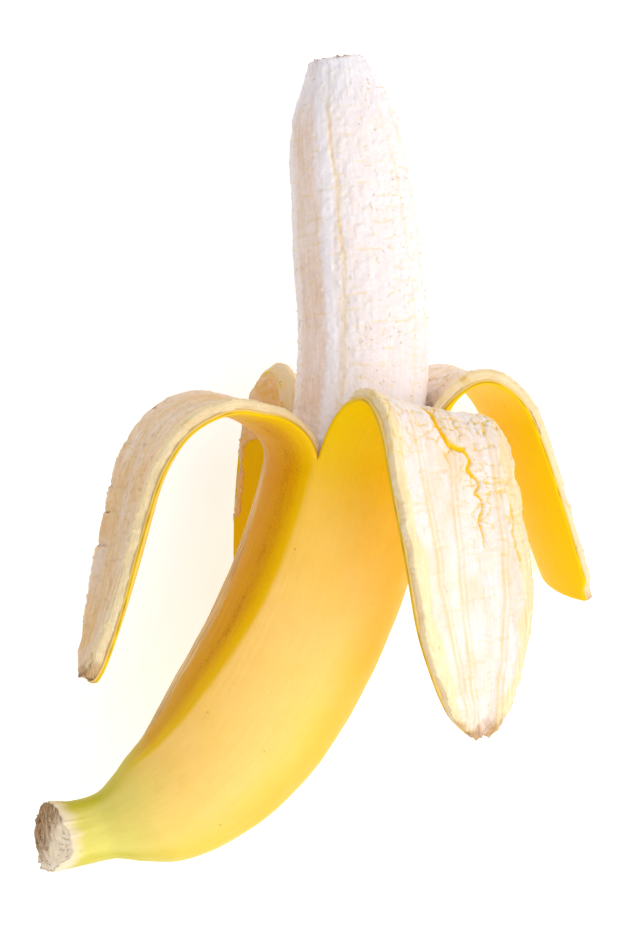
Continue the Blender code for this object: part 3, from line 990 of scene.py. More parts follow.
@dataclass(frozen=True)
class PeelSkin:
    """The yellow skin: tube, stem with its cut, and the outer layer of the four flaps."""

    columns: int = 42
    tube_rows: int = 180
    flap_rows: int = 124
    inner_rows: int = 20
    cap_rows: int = 26
    layer: float = 0.3
    edge_depths: tuple[float, ...] = (0.0, 0.07, 0.13, 0.2, 0.3)
    mark_names: tuple[str, ...] = (
        "painted_sheen", "deep", "gold_and_shade", "strip", "shade", "green", "lime", "stem", "freckle", "crease", "rim",
        "cut_edge", "bark",
    )
    gold_shade_line: Knots = ((0, -60), (20, -52), (45, -38), (80, -27), (132, -22))
    crease_line: Knots = ((0, -80), (30, -66), (50, -56), (73, -46), (113, -45), (132, -45))
    strip_line: Knots = ((0, -100), (28, -78), (43, -70), (77, -66), (113, -73), (132, -78))

    def marks(self, flap: FlapForm, share: Array, distance: Array, depth: Array) -> dict[str, Array]:
        """Tones of the skin of one flap's sector, from the stem to the flap's tip.

        Args:
            flap: the flap.
            share: -1 at its first split to 1 at its second.
            distance: millimetres from its root.
            depth: share of the wall under the skin.

        Returns:
            Marks by name.
        """
        azimuth, s = flap.azimuth(share), flap.root + distance
        degrees = np.degrees(azimuth)
        wander = 1.6 * noise(s / 7, degrees / 40, 11)
        past_gold_shade = straight_through(self.gold_shade_line, s) - degrees
        past_strip = straight_through(self.strip_line, s) - degrees
        crease = straight_through(self.crease_line, s) - degrees + wander
        on_tube = rise_between(s, 136, 118)
        # The strip: a grey-brown ridge whose light streaks are a painted highlight.
        strip = rise_between(past_strip, -2, 3) * rise_between(degrees, -112, -100) * rise_between(s, 20, 40)
        neck = rise_between(s + 3 * noise(degrees / 25, s / 12, 23), 38, 12)
        # The lighter green fades to the darker green towards the inner side and, as painted shade, on the
        # outer side.
        lime = rise_between(degrees, -62, -30) * (1 - 0.55 * rise_between(degrees, 36, 58))
        lime = lime + 0.12 * noise(s / 4, degrees / 12, 4)
        past_cut = s - PEEL.cut_slant * np.cos(azimuth) + 0.8 * noise(degrees / 7, s / 9, 21)
        stem = 0.9 * rise_between(past_cut, 4.2, 0.4)
        # The facets past the gold line, whose gold is partly painted shade.
        facet = rise_between(past_gold_shade, -1.5, 2.5) * rise_between(degrees, -128, -112)
        facet = facet * rise_between(s, 14, 30)
        spread = bell(crease, 4.0) * rise_between(s, 40, 62)
        spread = spread + 0.5 * bell(crease + 9, 5.0) * rise_between(s, 60, 90)
        shaded = rise_between(degrees, 30, 64) * rise_between(s, 24, 44) * rise_between(s, 140, 116)
        bared = 0.75 * rise_between(share, 0.78, 0.92) * rise_between(distance, 18, 34)
        bared = bared * ((depth == 0) & (flap is LEFT))
        return {
            # Painted highlight, strongest on the shown side towards the stem and gone by the flaps and the
            # outer side.
            "painted_sheen": np.clip(rise_between(s, 124, 78) * rise_between(degrees, 88, 20), 0, 1),
            "deep": np.maximum(rise_between(s, 106, 126), facet),
            "gold_and_shade": facet * (0.35 + 0.65 * on_tube) * (0.35 + 0.65 * rise_between(past_gold_shade, 2, 17)),
            "shade": 0.55 * shaded,
            "strip": 0.75 * strip * on_tube,
            "green": np.clip(neck, 0, 1),
            "lime": np.clip(lime, 0, 1),
            "stem": np.clip(stem, 0, 1),
            "freckle": 0.5 * np.clip(spread, 0, 1) * on_tube,
            "crease": 0.5 * bell(crease, 0.8) * rise_between(s, 50, 75) * on_tube,
            "rim": 0.85 * bell(depth - 0.12, 0.06) * (0.55 + 0.45 * noise(s / 2.5, degrees / 30, 5)),
            "cut_edge": np.maximum(rise_between(depth, 0.16, 0.22), bared),
            "place": place_at(azimuth * SKIN_GIRTH, s),
        }

    def cut_at(self, azimuth: Array) -> Array:
        """Distance of the stem's ragged cut: slant, a fractal of the turn, and points on the outer side."""
        x, y = np.sin(azimuth), np.cos(azimuth)
        ragged = 0.75 * fractal(2.3 * x + 3, 2.3 * y + 3, 61, 3)
        spikes = np.maximum(noise(9 * x, 9 * y, 67), 0) * rise_between(x, 0.1, 0.8)
        return PEEL.cut_slant * y + ragged - 0.9 * spikes - 0.9 * rise_between(x, 0.5, 0.95)

    def bumps(self, azimuth: Array, s: Array) -> Array:
        """Slight unevenness in millimetres, stronger on the stem."""
        calm = 0.09 * fractal(azimuth * 3, s / 7, 31) + 0.03 * fractal(azimuth * 14, s / 3, 37)
        fibrous = 0.22 * fractal(azimuth * 9, s / 9, 41)
        return calm + fibrous * rise_between(s, 14, 3)

    def tube(self, flap: FlapForm, share: Array, distance: Array) -> Array:
        """Skin points of a sector of the tube, uneven along the surface's outward side."""
        s = flap.root + distance
        points = flap.surface(share, distance, 0.0)
        radial = unit(points - PEEL.line.frame(s)[0])
        uneven = self.bumps(flap.azimuth(share), s) * rise_between(distance, 0, -12)
        return points + uneven[..., None] * radial

    def strip(self, shape: Shape, flap: FlapForm, share: Array, distance: Array, depth: Array) -> None:
        """Adds a grid of a flap, narrowed towards the tip, with its marks."""
        share, distance, depth = np.broadcast_arrays(share, distance, depth)
        points = flap.surface(share * flap.narrow(distance), distance, depth)
        shape.grid(points, self.marks(flap, share, distance, depth))

    def build(self) -> bpy.types.Object:
        """Makes the piece: each sector's outer and inner grids and torn edges, and one cap at the stem."""
        shape = Shape("peel_skin", self.mark_names)
        stem_ring: list[Array] = []
        floor_ring: list[Array] = []
        share_line = np.linspace(-1, 1, self.columns + 1)
        for flap in FLAPS:
            share, row = np.meshgrid(share_line, np.linspace(0, 1, self.tube_rows + 1) ** 1.05)
            cut = self.cut_at(flap.azimuth(share)) - flap.root
            distance = cut + row * (flap.split_line(share) - cut)
            tube = self.tube(flap, share, distance)
            shape.grid(tube, self.marks(flap, share, distance, np.zeros_like(share)))
            azimuth = flap.azimuth(share)[0, :-1, None]
            stem_ring.append(np.concatenate([tube[0, :-1], azimuth], -1))

            share, row = np.meshgrid(share_line, np.linspace(0, 1, self.flap_rows + 1))
            start = flap.split_line(share)
            distance = start + row * (flap.length + flap.slant * share - start)
            self.strip(shape, flap, share, distance, 0.0)
            self.strip(shape, flap, share, distance, self.layer)
            for side in (0, -1):
                depth, at = np.meshgrid(self.edge_depths, distance[:, side])
                self.strip(shape, flap, share_line[side], at, depth)
            depth, across = np.meshgrid(self.edge_depths, share_line)
            self.strip(shape, flap, across, distance[-1][:, None], depth)

            share, row = np.meshgrid(share_line, np.linspace(0, 1, self.inner_rows + 1))
            low = PEEL.cavity_end - flap.root
            distance = low + row * (flap.split_line(share) - low)
            depth = self.layer + (1 - self.layer) * rise_between(distance, -9, -18)
            hollow = flap.surface(share, distance, depth)
            shape.grid(hollow, self.marks(flap, share, distance, np.full_like(share, self.layer)))
            floor_ring.append(hollow[0, :-1])
        self.cap(shape, np.vstack(stem_ring))
        shape.fan(np.vstack(floor_ring), {"cut_edge": np.array(1.0)})
        return shape.make()

    def cap(self, shape: Shape, ring: Array) -> None:
        """The stem's cut: rings shrinking to the middle, sunk by a hollow and roughened along the stem."""
        centre = ring[:, :3].mean(axis=0)
        ring = np.vstack([ring, ring[:1]])
        _, direction, _ = PEEL.line.frame(np.array(0.0))
        share = np.linspace(1, 0.02, self.cap_rows + 1)[:, None]
        azimuth = ring[:, 3]
        points = centre + share[..., None] * (ring[None, :, :3] - centre)
        x, y = share * np.sin(azimuth), share * np.cos(azimuth)
        rough = 0.2 * fractal(x * 2.2 + 5, y * 3.1, 51, 2) + 0.32 * fractal(x * 5, y * 12, 55, 2)
        rough = rough + 0.7 * (1 - x**2 - y**2)
        fade = rise_between(share, 1, 0.86)
        points = points - (rough * fade)[..., None] * direction
        girth = PEEL.radii[0][1]
        pale = rise_between(x + 0.8 * y + 0.35 * fractal(x * 3, y * 9, 57), -0.7, 0.9)
        marks = {"stem": np.ones_like(x), "bark": 1 - pale, "place": place_at(y * girth, x * girth)}
        shape.grid(points, marks)
        shape.fan(points[-1, :-1], {"stem": np.array(1.0), "bark": np.array(0.5)})


class Crack(Enum):
    """How the pith of a flap has cracked."""

    ZIGZAG = "one long zigzag with fine cells round it"
    FOLDS = "cross cracks where it folds"
    SLIGHT = "a few fine lines"


@dataclass(frozen=True)
class PithLining:
    """The white inner layer of one flap, a closed strip with ragged sides and tip."""

    flap: FlapForm
    crack: Crack
    # beige: share of beige painted shade over the whole lining.
    beige: float
    seed: int
    veins: tuple[Knots, ...] = ()
    bands: tuple[float, float] = (2.4, 2.4)
    crumbs: float = 0.5
    lip: bool = False
    top_columns: int = 108
    edge_columns: int = 9
    bottom_columns: int = 22
    pitch: float = 0.29
    under: float = 0.28
    start: float = -9.0
    zigzag: Knots = (
        (-3.5, 21), (-1.5, 25.5), (-1.4, 29), (0.2, 32.5), (3.4, 33.2), (4.6, 36), (3.7, 37.4), (5.4, 40),
        (5.9, 41.5), (4.3, 43), (5.9, 45), (5.0, 47.5), (4.2, 49.5), (4.4, 55),
    )
    side_crack: Knots = (
        (12.6, 20), (11.2, 27), (12.9, 33), (11.4, 40), (12.7, 47), (11.6, 53), (12.0, 60),
    )

    def section(self) -> tuple[Array, Array, Array]:
        """The loop round the strip: top, second side, bottom, first side.

        Returns:
            Share across from -1 to 1, share of depth, and how much each point belongs to the top.
        """
        across = np.linspace(-1, 1, self.top_columns + 1)
        across = across - 0.05 * np.sin(2 * math.pi * across)
        down = np.linspace(0, 1, self.edge_columns + 1)[1:]
        back = np.linspace(1, -1, self.bottom_columns + 1)[1:]
        depth_down = 1 + (self.under - 1) * down
        share = np.concatenate([across, np.ones_like(down), back, -np.ones_like(down)])
        behind = np.full_like(back, self.under)
        depth = np.concatenate([np.ones_like(across), depth_down, behind, depth_down[::-1]])
        depth[-1] = 1.0
        top = np.concatenate([np.ones_like(across), 1 - down, np.zeros_like(back), down])
        return share, depth, top

    def cracks(self, x: Array, d: Array) -> tuple[Array, Array]:
        """Cracks of the pith: how deep in millimetres, and how strongly coloured.

        The zigzag is the distance to a line of straight pieces, jittered; the cells are borders between
        scattered seeds; the cross cracks are borders of cells drawn out across the strip.

        Args:
            x: millimetres across.
            d: millimetres along.

        Returns:
            Depth and colour strength.
        """
        jitter_x = 0.45 * fractal(x / 1.4, d / 1.4, self.seed + 60)
        jitter_d = 0.45 * fractal(x / 1.4, d / 1.4, self.seed + 66)
        if self.crack is Crack.FOLDS:
            fine = bell(cell_gap((x + 2 * jitter_x) / 6.5, (d + jitter_d) / 2.3, self.seed), 0.07)
            fine = fine * bell(d - 22, 12) * rise_between(noise(x / 4, d / 2, self.seed + 3), -0.3, 0.25)
            return 0.45 * fine, 0.75 * fine
        if self.crack is Crack.SLIGHT:
            fine = bell(cell_gap((x + 2 * jitter_x) / 8, (d + jitter_d) / 4.5, self.seed), 0.04)
            fine = fine * bell(d - 30, 30) * rise_between(noise(x / 4, d / 3, self.seed + 3), 0.0, 0.4)
            return 0.2 * fine, 0.3 * fine
        reach = reach_to_line(x + 0.6 * jitter_x, d + 0.6 * jitter_d, self.zigzag)
        width = 0.24 + 0.42 * rise_between(d, 48, 24)
        main = bell(reach, width) * rise_between(d, 57, 50)
        main_tint = smooth_step((1.25 * width - reach) / (0.5 * width)) * rise_between(d, 57, 52)
        reach = reach_to_line(x + 0.7 * jitter_x, d + 0.7 * jitter_d, self.side_crack)
        chain = rise_between(noise(d / 2.3, 0, self.seed + 9), -0.3, 0.1) * smooth_step((0.34 - reach) / 0.2)
        gap = cell_gap((x + jitter_x) / 3.6, (d + jitter_d) / 2.6, self.seed)
        zone = bell(d - 25, 12) * (0.45 + 0.55 * rise_between(x, -6, 1)) * rise_between(x, 15.8, 14)
        zone = np.maximum(zone, 0.6 * bell(d - 44, 14) * bell(x - 7, 7))
        zone = zone * rise_between(noise(x / 3.2, d / 2.2, self.seed + 3), -0.35, 0.2)
        fine = np.clip(1.4 * bell(gap, 0.08) * zone, 0, 1)
        fine_tint = np.clip(1.8 * rise_between(gap, 0.11, 0.05) * zone, 0, 1)
        depth = 0.9 * main + 0.35 * chain + 0.42 * fine
        return depth, np.maximum(np.maximum(main_tint, 0.75 * chain), 0.72 * fine_tint)

    def overlap(self, share: Array, d: Array) -> Array:
        """Where the torn lip of pith covers the skin of the second side: wide on the fold, then narrow."""
        if not self.lip:
            return np.zeros_like(share)
        wide = 0.09 + 0.50 * rise_between(d, 30, 25)
        inner = share + 0.03 * fractal(d / 1.6, 0, self.seed + 33)
        covered = rise_between(inner, 1 - wide - 0.03, 1 - wide + 0.03)
        return covered * rise_between(d, 3, 8) * rise_between(d, 47.5, 46)

    def rag(self, share: Array, d: Array, depth: Array, side: Array, free: Array) -> Array:
        """How far the torn sides stand out in millimetres: a fractal, notches, and a bulge half way down."""
        ragged = 0.34 * fractal(d / 3.4, side, self.seed + 90, 3)
        ragged = ragged + 0.10 * noise(d / 0.6, side + depth * 3, self.seed)
        if self.crack is Crack.SLIGHT:
            saw = d / 7.5 + 0.3 * noise(d / 11, 0, self.seed + 95)
            ragged = ragged - 1.3 * (saw - np.floor(saw)) ** 2 * (share < 0) * rise_between(d, 70, 60)
        down = np.clip((1 - depth) / (1 - self.under), 0, 1)
        bulge = 0.14 * np.sin(math.pi * down) * (np.abs(share) > 0.999) * free
        return (ragged - 0.22) * free - 0.02 + bulge

    def vein(self, x: Array, d: Array) -> Array:
        """Veins: bell curves of the distance across from each wandering line, each with a fainter twin."""
        vein = np.zeros_like(x)
        wander = 0.35 * noise(d / 5, 2.0, self.seed + 5)
        for line in self.veins:
            off = x - straight_through(line, d) + wander
            vein = np.maximum(vein, np.maximum(bell(off, 0.42), 0.6 * bell(off - 1.3, 0.3)))
        return vein * (0.7 + 0.3 * noise(x / 2, d / 5, self.seed + 8))

    def wrinkle(self, x: Array, d: Array) -> Array:
        """Fine cross wrinkles: bell curves of the distance along from each wandering whole step."""
        phase = d / 1.5 + 0.5 * noise(x / 3, d / 6, self.seed + 12)
        phase = phase + 0.2 * noise(x / 0.9, d / 3, self.seed + 13)
        kept = rise_between(noise(x / 2.2, d / 1.2, self.seed + 14), 0, 0.6)
        return bell(phase - np.round(phase), 0.16) * kept

    def grain(self, x: Array, d: Array, edge: Array) -> Array:
        """Long ridges, fine grain, loose crumbs, and crumbling near the edge, in millimetres."""
        ridges = 0.20 * fractal(x / 2.0, d / 14, self.seed + 10, 3)
        fine = 0.075 * fractal(x / 0.95, d / 1.25, self.seed + 20, 3)
        crumble = 0.09 * fractal(x / 0.7, d / 0.9, self.seed + 30, 3) * bell(np.maximum(edge, 0), 2.5)
        crumb = self.crumbs * np.maximum(fractal(x / 0.9, d / 0.9, self.seed + 15, 2) - 0.45, 0)
        return ridges + fine + crumb + crumble

    def build(self) -> bpy.types.Object:
        """Makes the strip: the section loop carried along the flap, its top raised and cracked."""
        flap = self.flap
        share_loop, depth_loop, top_loop = self.section()
        rows = round((flap.length - self.start) / self.pitch)
        share, row = np.meshgrid(share_loop, np.linspace(0, 1, rows + 1))
        depth, top = depth_loop[None, :] + 0 * row, top_loop[None, :] + 0 * row
        torn = 0.9 * fractal(share * 4.1, 0.5, self.seed + 80) - 0.4
        d = self.start + row * (flap.length + flap.slant * share + torn - self.start)
        tip = flap.length + flap.slant * share - d
        whole = flap.half_width(np.clip(d, 0, flap.length))
        half = whole * flap.narrow(d)
        side = np.where(share < 0, 3.0, 9.0)
        split = flap.split_line(np.sign(share))
        free = rise_between(d, split + 0.5, split + 4)
        rooted = rise_between(d, flap.split_line(share) - 3, flap.split_line(share) + 3)
        x = share * (half + self.rag(share, d, depth, side, free))
        edge = half - np.abs(x)
        lip = self.overlap(share, d) * (1 - top)
        depth = depth - 0.16 * top * rise_between(edge, 1.3, 0) * free - (self.under + 0.08) * lip
        base = flap.surface(x / whole, d, depth)

        crack_depth, crack_tint = self.cracks(x, d)
        vein, wrinkle = self.vein(x, d), self.wrinkle(x, d)
        raised = self.grain(x, d, edge) + 0.22 * vein - crack_depth - 0.10 * wrinkle
        beneath = 0.10 * fractal(d / 1.4, depth * 7, self.seed + 44) * free
        height = top * raised * (0.25 + 0.75 * rooted) + (1 - top) * beneath
        height = height * rise_between(depth, self.under, self.under + 0.05)
        lip_gap = cell_gap(x / 2.4 + 0.3 * fractal(x, d, self.seed + 35), d / 1.7, self.seed + 36)
        height = height - lip * (0.22 * fractal(x / 1.1, d / 1.1, self.seed + 34) - 0.3 * bell(lip_gap, 0.12))
        points = base + height[..., None] * ring_normals(base)

        band = np.where(share < 0, *self.bands) * (1 + 0.3 * fractal(d / 6, side, self.seed + 50))
        border = np.maximum(rise_between(edge, band + 0.7, band - 0.7), 1 - top)
        cloudy = 0.35 * fractal(x / 5, d / 9, self.seed + 75)
        # Patches of vein colour on the lip, partly painted shade.
        lip_patches_and_shade = 0.8 * lip * rise_between(noise(x / 2, d / 2, self.seed + 37), 0.1, 0.6)
        marks = {
            "edge": border * free * 0.95 * (1 - 0.85 * lip),
            # Beige is painted shade: the lining's share, varied by a cloud, and more on the lip.
            "beige": np.clip(self.beige + cloudy + 0.5 * lip, 0, 1),
            # On the lip the vein mark also carries those patches, partly painted shade.
            "vein": np.maximum(vein * top, lip_patches_and_shade),
            "wrinkle": wrinkle * top,
            "crack": np.clip(np.maximum(crack_tint * top, 0.7 * lip * bell(lip_gap, 0.06)), 0, 1),
            "brown": 0.8 * rise_between(tip + 2.8 * fractal(x / 2.6, d / 2.6, self.seed + 70), 5.5, -1.0),
            "place": place_at(x + 10 * (1 - depth), d),
        }
        shape = Shape(f"pith_{flap.name}", ("edge", "beige", "vein", "wrinkle", "crack", "brown"))
        shape.tube(points, marks)
        return shape.make()


@dataclass(frozen=True)
class Flesh:
    """The flesh: a tapering body round the middle line, detailed where it stands bare of the peel."""

    columns: int = 252
    bare_from: float = 108.0
    hidden_rows: int = 26
    bare_pitch: float = 0.37
    cap_rows: int = 18
    cross_pitch: float = 3.1
    strip_line: Knots = ((110, -30), (165, -28), (183, -23), (198, -28), (209.6, -35))
    seams: tuple[Knots, ...] = (
        ((110, -17), (146, -17), (164, -14.5), (182, -14.7), (191, -16), (198, -18), (209.6, -22)),
        ((110, 51), (137, 51), (165, 50), (182, 47), (197, 42), (209.6, 30)),
        ((110, 73), (170, 70), (182, 68), (191, 64), (209.6, 60)),
        ((110, 118), (209.6, 112)),
        ((110, 160), (209.6, 165)),
        ((110, 205), (209.6, 200)),
        ((110, 262), (209.6, 268)),
    )

    def profile(self) -> tuple[Array, Array, Array]:
        """Distances, radii and how far each row belongs to the torn top."""
        radii = PEEL.flesh_radii
        first, last = radii[0][0], radii[-1][0]
        hidden = np.linspace(first, self.bare_from, self.hidden_rows + 1)[:-1]
        bare = np.linspace(self.bare_from, last, round((last - self.bare_from) / self.bare_pitch) + 1)
        body = np.concatenate([hidden, bare])
        shrink = np.linspace(1, 0.02, self.cap_rows + 1)[1:]
        s = np.concatenate([body, last + 0.5 * np.sqrt(1 - shrink**2)])
        radius = np.concatenate([curve_through(radii, body), radii[-1][1] * shrink])
        top = np.concatenate([np.zeros_like(body), np.ones_like(shrink)])
        return s, radius, top

    def off(self, line: Knots, azimuth: Array, s: Array, girth: Array) -> Array:
        """Millimetres round the girth from a line of azimuths."""
        return np.angle(np.exp(1j * (azimuth - np.radians(straight_through(line, s))))) * girth

    def seam(self, azimuth: Array, s: Array, girth: Array) -> Array:
        """Seams: a bell curve of the distance round from each wandering line, the first the strongest."""
        seam = np.zeros_like(s)
        for number, line in enumerate(self.seams):
            wander = 0.5 * noise(s / 9, number, 100 + number)
            strength = (0.55 if number else 1.0) * (0.7 + 0.3 * noise(s / 6, number, 120 + number))
            seam = np.maximum(seam, strength * bell(self.off(line, azimuth, s, girth) + wander, 0.42))
        return seam

    def cross(self, turn: Array, s: Array, body: Array) -> Array:
        """Cross lines: bell curves of the distance along from each wandering step, coarse and then fine."""
        wander = 0.40 * noise(turn * 11, s / 9, 130, 11) + 0.16 * noise(turn * 44, s / 3, 133, 44)
        phase = s / self.cross_pitch + wander
        coarse = bell(np.abs(phase - np.round(phase)) * self.cross_pitch, 0.22)
        coarse = coarse * rise_between(noise(turn * 44, s / 2.4, 140, 44), 0.05, 0.6) * body
        phase = phase * 2.3
        fine = 0.5 * bell(np.abs(phase - np.round(phase)) * 1.35, 0.16)
        return np.maximum(coarse, fine * rise_between(noise(turn * 31, s / 1.9, 150, 31), 0.2, 0.6))

    def grain(self, turn: Array, s: Array) -> Array:
        """Lumps, fine grain and loose crumbs in millimetres, each a fractal of the turn and the distance."""
        lumps = 0.20 * fractal(turn * 11, s / 9, 160, 3, 11)
        fine = 0.15 * fractal(turn * 84, s / 1.2, 170, 3, 84)
        return lumps + fine + 0.5 * np.maximum(fractal(turn * 90, s / 1.1, 180, 2, 90) - 0.55, 0)

    def build(self) -> bpy.types.Object:
        """Makes the piece: the profile turned round the middle line and raised by its relief."""
        s_line, radius_line, top_line = self.profile()
        azimuth, s = np.meshgrid(np.linspace(-math.pi, math.pi, self.columns + 1), s_line)
        radius = radius_line[:, None] + 0 * azimuth
        top = top_line[:, None] + 0 * azimuth
        body = 1 - top
        base, _ = PEEL.line.round_about(azimuth, s, radius)
        turn = (azimuth + math.pi) / (2 * math.pi)
        girth = np.maximum(radius, 3.0)
        bare = rise_between(s, self.bare_from, self.bare_from + 6)

        seam, cross = self.seam(azimuth, s, girth), self.cross(turn, s, body)
        past_strip = self.off(self.strip_line, azimuth, s, girth)
        strip = rise_between(np.abs(past_strip + 0.25 * noise(s / 8, 0, 9)), 1.7, 0.7)
        flecks = bell(past_strip + 1.6, 0.5) * np.maximum(noise(turn * 180, s / 0.8, 190, 180), 0)
        facets = 0.16 * np.cos(5 * azimuth + 0.9) * girth / FLESH_GIRTH
        height = facets + self.grain(turn, s) + 0.22 * strip - 0.10 * seam - 0.12 * cross + 0.35 * flecks
        height = height * bare * body
        x, y = radius * np.sin(azimuth), radius * np.cos(azimuth)
        height = height + top * (0.5 * fractal(x / 2.1 + 9, y / 2.1, 200, 4) - 0.15)
        fade = rise_between(s, 206.5, 209.6) * body
        height = height + fade * 0.25 * fractal(turn * 24, s / 1.2, 210, 3, 24)
        points = base + height[..., None] * ring_normals(base)

        degrees = np.degrees(azimuth)
        # One facet, about minus 74 to minus 33 degrees, tanned by streaks and painted shade.
        tan_and_shade = rise_between(degrees, -74, -62) * rise_between(degrees, -33, -40) * rise_between(s, 118, 132)
        brown = top * rise_between(fractal(x / 1.7, y / 1.7 + 4, 220, 3), 0.25, 0.6)
        rim = rise_between(s, 207.2, 209.2) * rise_between(noise(turn * 19, s / 1.5, 230, 19), 0.35, 0.6)
        marks = {
            "seam": seam * body,
            "cross": np.clip(cross, 0, 1) * bare,
            "tan_and_shade": tan_and_shade * body * (0.75 + 0.25 * noise(turn * 40, s / 6, 240, 40)),
            "white": np.maximum(0.6 * strip, 0.8 * rise_between(s, 192, 206)) * body,
            "brown": np.clip(0.8 * brown + 0.55 * rim, 0, 1),
            "place": place_at(azimuth * FLESH_GIRTH, s),
        }
        shape = Shape("flesh", ("seam", "cross", "tan_and_shade", "white", "brown"))
        shape.tube(points, marks)
        return shape.make()


@dataclass(frozen=True)
class Shreds:
    """Many small tapering shreds in one piece, each a bent cone of a few faces."""

    name: str
    slot: Slot
    finish: ShredFinish
    seed: int
    rings: int = 5
    sides: int = 5

    def add(self, roots: Array, ways: Array, lengths: Array, widths: Array) -> None:
        """Makes and dresses the shreds, each bending aside from its way as the square of the distance.

        Args:
            roots: (n, 3) starting points in the design frame.
            ways: (n, 3) directions.
            lengths: (n,) lengths in millimetres.
            widths: (n,) radii at the root.
        """
        bend = np.stack([scatter(len(roots), self.seed, part) * 2 - 1 for part in range(3)], -1)
        ways = unit(ways)
        aside = unit(np.cross(ways, bend))
        third = np.cross(ways, aside)
        t = np.linspace(0, 1, self.rings)
        angle = np.linspace(0, 2 * math.pi, self.sides + 1)
        core = (
            roots[:, None]
            + ways[:, None] * (lengths[:, None] * t)[..., None]
            + aside[:, None] * (0.45 * lengths[:, None] * t**2)[..., None]
        )
        radius = widths[:, None] * (1 - 0.85 * t) + 0.012
        ring = (
            core[:, :, None]
            + aside[:, None, None] * (radius[..., None] * np.cos(angle))[..., None]
            + third[:, None, None] * (radius[..., None] * np.sin(angle))[..., None] * 0.6
        )
        shape = Shape(self.name, ("end",))
        ends = np.broadcast_to(t[:, None], ring.shape[1:3])
        for shred in ring:
            shape.tube(shred, {"end": ends, "place": place_at(shred[..., 0], shred[..., 1])})
        register(shape.make(), self.slot, self.finish.make())


@dataclass(frozen=True)
class TornFibres:
    """Fibres left where the banana was torn: on the flesh's outline, on its top and on the stem's cut."""

    effects: Effects
    slivers: int = 900
    dry_bits: int = 34
    stem_fibres: int = 90

    def rooted(self, azimuth: Array, s: Array, radius: Array) -> tuple[Array, Array, Array]:
        """Points round the middle line, their outward directions and the line's own directions."""
        roots, out = PEEL.line.round_about(azimuth, s, radius)
        return roots, out, PEEL.line.frame(s)[1]

    def on_flesh(self) -> None:
        """Short pale slivers scattered over the bare flesh."""
        number = self.slivers
        azimuth = (scatter(number, 301) * 2 - 1) * math.pi
        s = 122 + 85 * scatter(number, 302)
        roots, out, direction = self.rooted(azimuth, s, curve_through(PEEL.flesh_radii, s) - 0.12)
        lean = (scatter(number, 303) * 2 - 1)[:, None] * 1.6
        lengths = 0.45 + 0.9 * scatter(number, 304) ** 2
        widths = 0.08 + 0.14 * scatter(number, 305)
        finish = ShredFinish(self.effects, "flesh_shred", (252, 240, 226), (244, 216, 170))
        ways = out + lean * direction
        Shreds("flesh_shreds", Slot.FLESH, finish, seed=306).add(roots, ways, lengths, widths)

    def on_top(self) -> None:
        """Dry brown bits standing on the torn top of the flesh."""
        number = self.dry_bits
        azimuth = (scatter(number, 311) * 2 - 1) * math.pi
        radius = 5.4 * np.sqrt(scatter(number, 312))
        roots, out, direction = self.rooted(azimuth, np.full(number, 209.9), radius)
        lengths = 0.15 + 0.5 * scatter(number, 313) ** 2
        widths = 0.3 + 0.4 * scatter(number, 314)
        finish = ShredFinish(self.effects, "top_shred", (232, 208, 178), (150, 106, 66))
        Shreds("top_shreds", Slot.FLESH, finish, seed=316).add(roots, direction + 0.5 * out, lengths, widths)

    def on_stem(self) -> None:
        """Stiff fibres at the stem's cut, longest on its outer side."""
        number = self.stem_fibres
        azimuth = (scatter(number, 321) * 2 - 1) * math.pi
        share = np.sqrt(scatter(number, 322))
        s = PEEL.cut_slant * np.cos(azimuth) * share + 0.3
        roots, out, direction = self.rooted(azimuth, s, 7.2 * share)
        outer = rise_between(np.degrees(azimuth), 20, 80) * rise_between(np.degrees(azimuth), 150, 100)
        lengths = 0.5 + (0.5 + 1.0 * outer) * scatter(number, 323)
        widths = 0.14 + 0.2 * scatter(number, 324)
        finish = ShredFinish(self.effects, "stem_fibre", (236, 212, 186), (150, 112, 76))
        Shreds("stem_fibres", Slot.PEEL, finish, seed=326).add(roots, 0.35 * out - direction, lengths, widths)


@dataclass(frozen=True)
class Lamp:
    """A square soft light aimed at the middle of the banana."""

    name: str
    place: tuple[float, float, float]
    size: float
    power: float
    colour: tuple[float, float, float] = (1.0, 1.0, 1.0)
    aim_height: float = 0.03

    def add(self) -> None:
        """Hangs the light and turns it to the banana."""
        data = bpy.data.lights.new(self.name, "AREA")
        data.size = self.size
        data.energy = self.power
        data.color = self.colour
        made = bpy.data.objects.new(self.name, data)
        made.location = self.place
        x, y, z = np.array([0.0, 0.0, self.aim_height]) - np.array(self.place)
        made.rotation_euler = (math.atan2(math.hypot(x, y), -z), 0.0, math.atan2(y, x) - math.pi / 2)
        bpy.context.scene.collection.objects.link(made)


